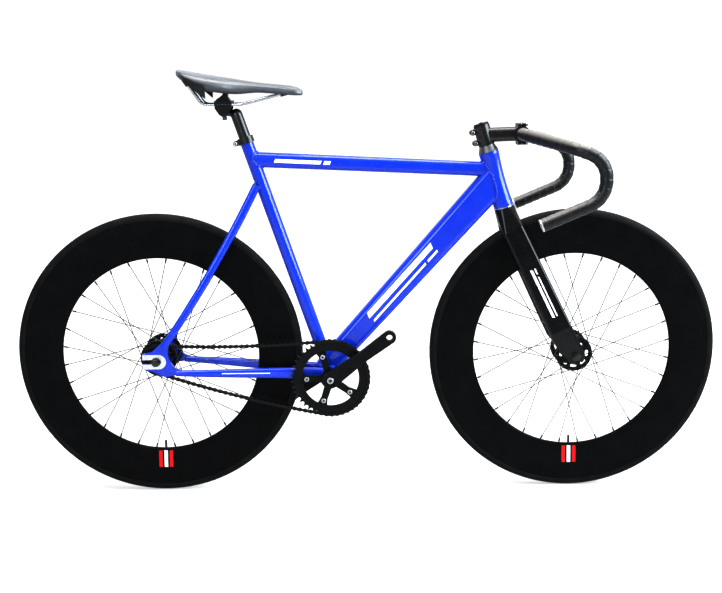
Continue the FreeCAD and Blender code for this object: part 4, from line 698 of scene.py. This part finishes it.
def linkShape(name, c, inner):
    shape = bmesh.new()
    thick = c["plateThickness"]
    face = c["innerGap"] / 2 + (0 if inner else thick + c["sideGap"])
    for y in (face, -face - thick):
        addPrism(shape, plateOutline(c), y, y + thick)
    end = face + thick + c["pinProud"]
    for x in (-c["pitch"] / 2, c["pitch"] / 2):
        if inner:
            addPrism(shape, circleOutline(x, c["rollerRadius"], c["rollerSides"]), -face, face)
        else:
            addPrism(shape, circleOutline(x, c["pinRadius"], c["pinSides"]), -end, end)
    bmesh.ops.recalc_face_normals(shape, faces=shape.faces)
    return pieceFrom(shape, name)


def linkTree():
    tree, given, out = newTree("linkRun", ("Inner Link", "Outer Link", "Material"))
    turn = addNode("ShaderNodeCombineXYZ", {"Y": fieldOf(tree, "lean")})[0]
    joined = tree.nodes.new("GeometryNodeJoinGeometry")
    for label, operation in (("Inner Link", "LESS_THAN"), ("Outer Link", "GREATER_THAN")):
        sides = {0: fieldOf(tree, "outer"), 1: 0.5}
        chosen = addNode("FunctionNodeCompare", sides, operation=operation)[0]
        links = copiesOf(given, label, {"Selection": chosen, "Rotation": turn})
        link(links, joined.inputs[0])
    link(finished(joined.outputs[0], given["Material"], False), out["Geometry"])
    return tree


def makeChain(c):
    pins = chainPins(c)
    ends = pins[1:] + pins[:1]
    piece = newPiece("rollerChain", [(a + b) / 2 for a, b in zip(pins, ends)])
    addField(piece, "lean", [-math.atan2(b.z - a.z, b.x - a.x) for a, b in zip(pins, ends)])
    addField(piece, "outer", [float(k % 2) for k in range(len(pins))])
    shapes = [linkShape("innerLinkShape", c, True), linkShape("outerLinkShape", c, False)]
    runTree(piece, linkTree(), {"Inner Link": shapes[0], "Outer Link": shapes[1], "Material": chainBlack})
    for shape in shapes:
        dropHelper(shape)
    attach(piece, "frame")
    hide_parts("chain")
    print("chain of", len(pins), "links")


makeChain(chainSizes)


# Wrapped bar tape

barSizes = {
    "middle": (0.35474, 0.0, 0.8389), "halfWidth": 0.2, "topHalfWidth": 0.05, "rampReach": 0.093,
    "rampDrop": 0.0245, "hookReach": 0.151, "hookDrop": 0.047, "lowDrop": 0.1275, "endReach": 0.019,
    "endDrop": 0.182, "bends": (0.07, 0.04, 0.055, 0.055), "bendStep": 0.06, "tapeStart": 0.028,
    "radius": 0.0131, "sides": 36, "lapHeight": 0.0011, "lapCurve": 0.6, "turnWidth": 0.019,
    "step": 0.0013,
}


def barLine(b, side):
    wide = b["halfWidth"]
    corners = ((0, 0, b["tapeStart"]), (0, 0, b["topHalfWidth"]), (b["rampReach"], b["rampDrop"], wide),
               (b["hookReach"], b["hookDrop"], wide), (b["hookReach"], b["lowDrop"], wide),
               (b["endReach"], b["endDrop"], wide))
    corners = [Vector(b["middle"]) + Vector((reach, side * y, -drop)) for reach, drop, y in corners]
    line = [corners[0]]
    for before, corner, after, radius in zip(corners, corners[1:], corners[2:], b["bends"]):
        line += bendPoints(before, corner, after, radius, b["bendStep"])
    return line + [corners[-1]]


def bendPoints(before, corner, after, radius, step):
    into, out = (before - corner).normalized(), (after - corner).normalized()
    opening = into.angle(out)
    reach = radius / math.tan(opening / 2)
    middle = corner + (into + out).normalized() * (radius / math.sin(opening / 2))
    first, last = corner + into * reach - middle, corner + out * reach - middle
    sweep = first.angle(last)
    count = max(2, int(sweep / step))
    turns = [sweep * k / count for k in range(count + 1)]
    return [middle + (first * math.sin(sweep - a) + last * math.sin(a)) / math.sin(sweep) for a in turns]


def tapeTree(b):
    tree, given, out = newTree("tapeWrap", ("radius", "lapHeight", "turnWidth", "step", "Material"))
    tube, along, around, outwards = tubeAlong(tree, given, b["sides"], True)
    turns = maths("DIVIDE", along, given["turnWidth"])
    lap = maths("FRACT", maths("ADD", turns, around))
    curve = maths("POWER", maths("SUBTRACT", 1.0, lap), b["lapCurve"])
    wrapped = pushOut(tube, outwards, times(curve, given["lapHeight"]))
    # upside: how far the surface faces up, which sets the tape's painted highlight
    for label, value in (("lap", lap), ("upside", splitVector(outwards)["Z"])):
        kept = {"Geometry": wrapped, "Name": label, "Value": value}
        wrapped = addNode("GeometryNodeStoreNamedAttribute", kept, data_type="FLOAT", domain="POINT")[0]
    link(finished(wrapped, given["Material"], True), out["Geometry"])
    return tree


def makeTape(b):
    piece = linePiece("barTapeWrap", [barLine(b, side) for side in (1, -1)], False)
    runTree(piece, tapeTree(b), {**b, "Material": tapeCork})
    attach(piece, "handlebar")
    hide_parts("bar_tape")
    print("bar tape wrapped,", len(piece.data.polygons), "faces")


makeTape(barSizes)


# Saddle pad

saddleSizes = {
    "tail": (-0.4135121, 0.0, 0.9289829), "length": 0.278, "halfWidth": 0.069, "height": 0.062,
    "pad": 0.008, "skirt": 0.0036, "channelDepth": 0.0022, "channelHalf": 0.008, "seamDepth": 0.0007,
    "stations": 96, "outerSteps": 60, "innerSteps": 24,
    # along, half width, top and foot of each station, as shares
    "shares": ((0.0, 0.50, 0.985, 0.80), (0.06, 0.86, 0.94, 0.60), (0.19, 1.0, 0.835, 0.30),
               (0.34, 0.82, 0.725, 0.15), (0.48, 0.54, 0.63, 0.09), (0.64, 0.35, 0.52, 0.13),
               (0.82, 0.28, 0.42, 0.07), (0.94, 0.24, 0.33, 0.02), (1.0, 0.11, 0.20, 0.02)),
    # of a section's height or half width
    "thinShare": 0.35, "footShare": 0.22, "shoulderShare": 0.35, "edgeShare": 0.3, "fallShare": 0.2,
    "sideShares": ((0.985, 0.2), (1.0, 0.42)), "turnShares": (0.35, 0.66),
    "topShares": ((1.0, 1.0), (0.62, 0.36), (0.3, 0.08), (0.0, 0.0)),
    # channel and ends as shares of the length, the seam of the way up a section
    "channelFrom": 0.12, "channelRun": 0.78, "seamAt": 0.47, "seamHalf": 0.018,
    "seamSlope": 0.6, "endRun": 0.012, "endLeast": 0.35,
}


def smoothValue(table, t, column):  # a smooth curve through the table's rows
    rows = [row[0] for row in table]
    k = max(0, min(len(rows) - 2, sum(r <= t for r in rows) - 1))
    span = rows[k + 1] - rows[k]

    def slope(i):
        a, b = max(0, i - 1), min(len(rows) - 1, i + 1)
        return (table[b][column] - table[a][column]) / (rows[b] - rows[a])

    u = (t - rows[k]) / span
    y0, y1, m0, m1 = table[k][column], table[k + 1][column], slope(k) * span, slope(k + 1) * span
    rise = (3 - 2 * u) * u * u
    return (1 - rise) * y0 + ((u - 2) * u + 1) * u * m0 + rise * y1 + (u - 1) * u * u * m1


def throughPoints(points, count):  # even steps on a smooth line through points
    table = []
    walked = 0.0
    for k, p in enumerate(points):
        walked += math.dist(p, points[k - 1]) if k else 0.0
        table.append((walked,) + tuple(p))
    steps = [walked * k / count for k in range(count + 1)]
    return [(smoothValue(table, t, 1), smoothValue(table, t, 2)) for t in steps]


def padSection(s, t, inner):  # half section from the foot up to the middle of the top
    half = smoothValue(s["shares"], t, 1) * s["halfWidth"]
    high, low = (smoothValue(s["shares"], t, column) * s["height"] for column in (2, 3))
    if inner:
        half -= min(s["skirt"], half * s["thinShare"])
        high -= min(s["pad"], (high - low) * s["thinShare"])
    tall = high - low
    knee = half - min(tall * s["footShare"], half * s["edgeShare"])
    shoulder = half - min(tall * s["shoulderShare"], half * s["edgeShare"])
    turnIn, turnUp = s["turnShares"]
    points = [(knee, low)] + [(half * a, low + tall * b) for a, b in s["sideShares"]]
    points.append((half - (half - shoulder) * turnIn, low + tall * turnUp))
    return points + [(shoulder * a, high - tall * s["fallShare"] * b) for a, b in s["topShares"]]


def padRing(s, t, ease):
    outer = throughPoints(padSection(s, t, False), s["outerSteps"])
    inner = throughPoints(padSection(s, t, True), s["innerSteps"])
    ring = []
    run = min(1.0, max(0.0, (t - s["channelFrom"]) / s["channelRun"]))
    channel = s["channelDepth"] * max(0.0, math.sin(math.pi * run))
    for k, (y, z) in enumerate(outer):
        z -= channel * math.exp(-(y / s["channelHalf"]) ** 2)
        past = (k / s["outerSteps"] - s["seamAt"]) / s["seamHalf"]
        seam = s["seamDepth"] * math.exp(-past ** 2)
        ring.append((y - seam, z - seam * s["seamSlope"]))
    ring = ring + [(-y, z) for y, z in ring[-2::-1]]
    ring += [(-y, z) for y, z in inner] + inner[-2::-1]
    middle = sum(z for _, z in outer) / len(outer)
    return [(y * ease, middle + (z - middle) * ease) for y, z in ring]


def endEase(s, t):  # the sections shrink to a round end at the tail and the nose
    edge = min(1.0, min(t, 1 - t) / s["endRun"])
    return s["endLeast"] + (1 - s["endLeast"]) * math.sqrt(1 - (1 - edge) ** 2)


def makePad(s):
    vertices, rings = [], []
    for k in range(s["stations"] + 1):
        t = 0.5 - 0.5 * math.cos(math.pi * k / s["stations"])
        rings.append(len(vertices))
        for y, z in padRing(s, t, endEase(s, t)):
            vertices.append(Vector(s["tail"]) + Vector((s["length"] * t, y, z)))
    count = len(vertices) // len(rings)
    faces = [(a + j, a + (j + 1) % count, b + (j + 1) % count, b + j)
             for a, b in zip(rings, rings[1:]) for j in range(count)]
    faces += [range(count)[::-1], range(rings[-1], rings[-1] + count)]
    helper = newPiece("padShape", vertices, (), faces)
    shape = bmesh.new()
    shape.from_mesh(helper.data)
    dropHelper(helper)
    bmesh.ops.triangulate(shape, faces=[f for f in shape.faces if len(f.verts) > 4])
    bmesh.ops.recalc_face_normals(shape, faces=shape.faces)
    piece = pieceFrom(shape, "saddlePad", saddleSkin)
    piece.data.shade_smooth()
    n = s["outerSteps"]
    rise = [k / n for k in range(n + 1)]
    rise += rise[-2::-1] + [0.0] * (count - 2 * n - 1)
    addField(piece, "rise", rise * len(rings))
    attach(piece, "saddle")
    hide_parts("saddle_cover")
    print("saddle pad,", len(piece.data.polygons), "faces")


makePad(saddleSizes)


# Saddle side bumpers, moulded wings on the rear lower corners

bumperSizes = {
    "stations": 28, "rows": 14, "sideSteps": 40, "wall": 0.0022, "bevel": 0.0007, "lean": 0.25,
    "turnShare": 0.16,
    # along the saddle, top edge as a share of the pad's side, drop below the pad's foot
    "edge": ((0.078, 0.34, 0.0), (0.110, 0.46, 0.0022), (0.158, 0.44, 0.0060), (0.205, 0.39, 0.0115),
             (0.234, 0.34, 0.0160), (0.246, 0.18, 0.0176)),
}


def bumperRow(s, b, t):
    section = padSection(s, t, False)
    side = throughPoints(section[:4], b["sideSteps"])
    low, tall = side[0][1], section[-1][1] - side[0][1]
    upper, under = low + tall * smoothValue(b["edge"], t, 1), low - smoothValue(b["edge"], t, 2)
    turn = low + tall * b["turnShare"]
    row = []
    for k in range(b["rows"] + 1):
        z = upper + (under - upper) * k / b["rows"]
        near = min(side, key=lambda p: abs(p[1] - max(z, turn)))
        row.append((near[0] - max(0.0, turn - z) * b["lean"], z))
    return row


def makeBumpers(s, b):
    shape = bmesh.new()
    first, last = b["edge"][0][0], b["edge"][-1][0]
    for sign in (1, -1):
        rows = []
        for k in range(b["stations"] + 1):
            t = first + (last - first) * k / b["stations"]
            base = Vector(s["tail"]) + Vector((s["length"] * t, 0, 0))
            places = [base + Vector((0, sign * (y + b["wall"] / 2), z)) for y, z in bumperRow(s, b, t)]
            rows.append([shape.verts.new(place) for place in places])
        for a, c in zip(rows, rows[1:]):
            for k in range(b["rows"]):
                quad = (a[k], a[k + 1], c[k + 1], c[k])
                shape.faces.new(quad if sign > 0 else quad[::-1])
    piece = pieceFrom(shape, "saddleBumpers", saddlePlastic)
    wall = piece.modifiers.new("wall", "SOLIDIFY")
    wall.thickness, wall.offset = b["wall"], 0.0
    addBevel(piece, b["bevel"])
    settle(piece)
    piece.data.shade_smooth()
    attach(piece, "saddle")
    print("saddle bumpers on both sides")


makeBumpers(saddleSizes, bumperSizes)


# Saddle clamp's cheeks beside the barrel and bridge over the rails

clampSizes = {
    "barrel": (-0.312012, 0.0, 0.895383), "cheekInner": 0.0207, "cheekOuter": 0.0266,
    "bridgeHalfWidth": 0.013, "bevel": 0.0012,
    # ahead of the barrel's middle and above it
    "cheek": ((-0.019, 0.0125), (-0.019, 0.0085), (-0.0085, -0.0065), (0.0, -0.0095), (0.0075, -0.0085),
              (0.0125, -0.004), (0.0175, 0.0085), (0.0175, 0.0125)),
    "bridge": ((-0.0185, 0.0245), (-0.0155, 0.0285), (-0.0075, 0.0335), (-0.0015, 0.0385), (0.001, 0.0505),
               (0.009, 0.0505), (0.0088, 0.0335), (0.0125, 0.0285), (0.0145, 0.0245)),
}


def makeClampForms(c):
    shape = bmesh.new()
    x, _, z = c["barrel"]
    inner, outer, half = c["cheekInner"], c["cheekOuter"], c["bridgeHalfWidth"]
    for form, yFrom, yTo in (("cheek", inner, outer), ("cheek", -outer, -inner), ("bridge", -half, half)):
        addPrism(shape, [(x + ahead, z + up) for ahead, up in c[form]], yFrom, yTo)
    bmesh.ops.recalc_face_normals(shape, faces=shape.faces)
    piece = pieceFrom(shape, "saddleClampForms", blackAlloy)
    addBevel(piece, c["bevel"])
    settle(piece)
    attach(piece, "saddle_clamp")
    print("saddle clamp's cheeks and bridge")


makeClampForms(clampSizes)


# Socket caps on the bolts' heads, with a dark disc of painted shade in each socket

capSizes = {
    "sides": 24, "leastHead": 0.0041, "leastCorners": 8, "flatness": 1e-5, "sameSpot": 1e-6,
    # as shares of a head's radius
    "rim": 0.94, "edge": 0.86, "socket": 0.56, "height": 0.2, "chamfer": 0.06, "floor": 0.03,
    "sets": (
        {"name": "crankSocketCaps", "body": "crankset", "nodes": ("chainring_bolts", "crank_bolts"),
         "facings": ((0.0, -1.0, 0.0), (0.0, 1.0, 0.0))},
        {"name": "stemSocketCaps", "body": "front_end", "nodes": ("stem_bolts",),
         "facings": ((0.0, -1.0, 0.0), (0.99971, 0.0, 0.02409))},
        {"name": "collarSocketCap", "body": "frame", "nodes": ("seat_collar_bolt",),
         "facings": ((0.0, -1.0, 0.0),)},
    ),
}


def separateBolts(c, node):
    shape = bmesh.new()
    shape.from_mesh(cadNodes[node].data)
    bmesh.ops.remove_doubles(shape, verts=shape.verts, dist=c["sameSpot"])
    left, bolts = set(shape.verts), []
    for start in shape.verts:
        if start not in left:
            continue
        left.remove(start)
        queue, bolt = [start], []
        while queue:
            v = queue.pop()
            bolt.append(v.co.copy())
            near = [e.other_vert(v) for e in v.link_edges]
            queue += [o for o in near if o in left]
            left.difference_update(near)
        bolts.append(bolt)
    shape.free()
    return bolts


def headFace(c, bolt, facing):  # middle and radius of a head's flat end, if the bolt has one on that side
    reach = max(p.dot(facing) for p in bolt)
    face = [p for p in bolt if reach - p.dot(facing) < c["flatness"]]
    middle = Vector([(min(p[k] for p in face) + max(p[k] for p in face)) / 2 for k in range(3)])
    radius = max((p - middle).length for p in face)
    return (middle, radius) if len(face) >= c["leastCorners"] and radius > c["leastHead"] else None


def onHexagon(c, angle):  # a point of the socket's outline
    turn = (angle + math.pi / 6) % (math.pi / 3) - math.pi / 6
    reach = c["socket"] * math.cos(math.pi / 6) / math.cos(turn)
    return reach * math.cos(angle), reach * math.sin(angle)


def capShapes(c):
    n, top = c["sides"], c["height"]
    hexagon = [onHexagon(c, 2 * math.pi * k / n) for k in range(n)]
    rim, edge = circleOutline(0.0, c["rim"], n), circleOutline(0.0, c["edge"], n)
    levels = ((rim, 0), (rim, top - c["chamfer"]), (edge, top), (hexagon, top), (hexagon, 0))
    rings = [i * n for i in range(len(levels))]
    steps = [(k, (k + 1) % n) for k in range(n)]
    walls = [(a + k, a + m, b + m, b + k) for a, b in zip(rings, rings[1:] + rings[:1]) for k, m in steps]
    collar = newPiece("capCollarShape", [(x, y, z) for ring, z in levels for x, y in ring], (), walls)
    faces = [range(n)[::-1], range(n, 2 * n)] + [(k, m, n + m, n + k) for k, m in steps]
    # painted shade: a dark disc, raised by the floor share, lies at the bottom of each hex socket in place of
    # the shade in the recess
    corners = [(x, y, z) for z in (0, c["floor"]) for x, y in hexagon]
    return collar, newPiece("capFloorShape", corners, (), faces)


def capTree():
    tree, given, out = newTree("socketCaps", ("Collar", "Socket Shade", "Collar Finish", "Socket Shade Finish"))
    facing = fieldOf(tree, "facing", "FLOAT_VECTOR")
    turn = addNode("FunctionNodeAlignRotationToVector", {"Vector": facing}, axis="Z")[0]
    joined = tree.nodes.new("GeometryNodeJoinGeometry")
    # the collar, and the dark disc of painted shade inside it
    for label in ("Collar", "Socket Shade"):
        copies = copiesOf(given, label, {"Rotation": turn, "Scale": fieldOf(tree, "size")})
        link(finished(copies, given[label + " Finish"], False), joined.inputs[0])
    link(joined.outputs[0], out["Geometry"])
    return tree


def makeCaps(c):
    shapes, tree = capShapes(c), capTree()
    for group in c["sets"]:
        heads = []
        for bolt in [bolt for node in group["nodes"] for bolt in separateBolts(c, node)]:
            for facing in group["facings"]:
                found = headFace(c, bolt, Vector(facing))
                if found:
                    heads.append(found + (facing,))
        piece = newPiece(group["name"], [middle for middle, _, _ in heads])
        addField(piece, "size", [radius for _, radius, _ in heads])
        addField(piece, "facing", [x for _, _, facing in heads for x in facing], "FLOAT_VECTOR", "vector")
        # dark steel on the discs paints the shade in the sockets
        runTree(piece, tree, {"Collar": shapes[0], "Socket Shade": shapes[1], "Collar Finish": brightSteel,
                              "Socket Shade Finish": darkSteel})
        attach(piece, group["body"])
        print(group["name"], "on", len(heads), "heads")
    for shape in shapes:
        dropHelper(shape)


makeCaps(capSizes)


# Weld beads where the frame's tubes meet

weldSizes = {
    "reach": 0.0004, "bins": 90, "radius": 0.0026, "sides": 12, "ripple": 0.00022, "ripplePitch": 0.0036,
    "step": 0.0012,
    "joints": (("top_tube", "head_tube"), ("down_tube", "head_tube"), ("top_tube", "seat_tube"),
               ("seatstay_right", "seat_tube"), ("seatstay_left", "seat_tube"), ("seat_tube", "bb_shell"),
               ("down_tube", "bb_shell"), ("chainstay_right", "bb_shell"), ("chainstay_left", "bb_shell")),
}


def surfaceOf(node):
    mesh = cadNodes[node].data
    return BVHTree.FromPolygons([v.co for v in mesh.vertices], [p.vertices for p in mesh.polygons])


def weldLoop(w, tube, neighbour):  # the outer edge of a tube's end, in order round the tube
    surface = surfaceOf(neighbour)
    points = [v.co for v in cadNodes[tube].data.vertices]
    close = [p for p in points if surface.find_nearest(p, w["reach"])[0] is not None]
    middle = sum(close, Vector()) / len(close)
    along = (sum(points, Vector()) / len(points) - middle).normalized()
    over = along.orthogonal().normalized()
    across = along.cross(over)
    outermost = {}
    for p in close:
        u, v = (p - middle).dot(over), (p - middle).dot(across)
        turn = int((math.atan2(v, u) / (2 * math.pi) + 0.5) * w["bins"])
        if turn not in outermost or math.hypot(u, v) > outermost[turn][0]:
            outermost[turn] = (math.hypot(u, v), p)
    return [outermost[turn][1] for turn in sorted(outermost)]


def weldTree(w):
    tree, given, out = newTree("weldBead", ("radius", "ripple", "ripplePitch", "step", "Material"))
    tube, along, _, outwards = tubeAlong(tree, given, w["sides"], False)
    turns = maths("DIVIDE", along, given["ripplePitch"])
    wave = maths("SINE", times(turns, 2 * math.pi))
    rippled = pushOut(tube, outwards, times(wave, given["ripple"]))
    link(finished(rippled, given["Material"], True), out["Geometry"])
    return tree


def makeWelds(w):
    piece = linePiece("weldBeads", [weldLoop(w, *joint) for joint in w["joints"]], True)
    runTree(piece, weldTree(w), {**w, "Material": plainLacquer})
    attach(piece, "frame")
    print("weld beads,", len(piece.data.polygons), "faces")


makeWelds(weldSizes)


# Studio

studio = {
    "backdrop": 1.02, "nearGlow": 0.08, "farGlow": 1.2, "wallSpan": (-0.2, 0.7), "zenith": 0.8,
    "zenithSpan": (0.3, 0.95), "gamma": 0.82, "floorColour": (0.46, 0.457, 0.452, 1),
    "floorDust": (0.4, 0.396, 0.39, 1), "floorLift": (0.42, 0.95), "liftSpan": (0.75, 2.6),
    "floorReach": 40.0, "floorDrop": 0.0004,
    "lights": (
        {"name": "overhead", "place": (0.1, -0.2, 2.9), "aim": (0.0, 0.0, 0.3), "size": (3.4, 1.3),
         "power": 190.0, "colour": (1.0, 0.985, 0.95)},
        {"name": "frontSide", "place": (2.5, -0.9, 1.7), "aim": (0.1, 0.0, 0.6), "size": (1.9, 1.6),
         "power": 200.0, "colour": (0.8, 0.92, 1.0)},
        {"name": "nearFill", "place": (-1.4, -2.9, 1.4), "aim": (-0.1, 0.0, 0.45), "size": (1.8, 1.2),
         "power": 66.0, "colour": (0.74, 0.87, 1.0)},
    ),
}


def cameraRay(place):
    return newNode(place.id_data, "ShaderNodeLightPath").outputs["Is Camera Ray"]


def makeWorld(s):  # white to the eye; for light and reflections a bright wall behind and a dark room in front
    world = bpy.data.worlds.new("studioWorld")
    tree = emptyTree(world)
    _, back, up = splitVector(newNode(tree, "ShaderNodeTexCoord").outputs["Generated"])
    wall = ranged(back, *s["wallSpan"], s["nearGlow"], s["farGlow"])
    above = ranged(up, *s["zenithSpan"], high=s["zenith"])
    seen = cameraRay(back)
    hidden = times(maths("SUBTRACT", 1.0, seen), maths("MAXIMUM", wall, above))
    strength = maths("ADD", times(seen, s["backdrop"]), hidden)
    sky = addNode("ShaderNodeBackground", {"Color": (1, 1, 1, 1), "Strength": strength})
    addNode("ShaderNodeOutputWorld", {"Surface": sky[0]})
    bpy.context.scene.world = world


def makeFloor(s):  # lifted to white with distance, so that only the shadows near the wheels show
    gloss = {"Specular IOR Level": 0.1, "Emission Color": (1, 1, 1, 1)}
    material, shader, place = newFinish("paleFloor", gloss)
    shade = veiled(place, s["floorColour"], s["floorDust"], amount=0.1, scale=2.0)
    paintOn(shader, place, shade, scale=3.0, low=0.6, high=0.8)
    away = addNode("ShaderNodeVectorMath", {0: place}, operation="LENGTH")["Value"]
    lift = ranged(away, *s["liftSpan"], *s["floorLift"])
    link(times(cameraRay(place), lift), shader.inputs["Emission Strength"])
    r, low = s["floorReach"], -s["floorDrop"]
    corners = [(-r, -r, low), (r, -r, low), (r, r, low), (-r, r, low)]
    floor = newPiece("paleFloor", corners, (), [(0, 1, 2, 3)])
    floor.data.materials.append(material)


def makeLight(light):
    data = bpy.data.lights.new(light["name"], "AREA")
    data.shape = "RECTANGLE"
    data.size, data.size_y = light["size"]
    data.energy = light["power"]
    data.color = light["colour"]
    lamp = newObject(light["name"], data)
    lamp.location = light["place"]
    lamp.rotation_euler = (Vector(light["aim"]) - Vector(light["place"])).to_track_quat("-Z", "Y").to_euler()


makeWorld(studio)
makeFloor(studio)
for light in studio["lights"]:
    makeLight(light)
bpy.context.scene.view_settings.view_transform = "Standard"
bpy.context.scene.view_settings.gamma = studio["gamma"]
print("studio lit")
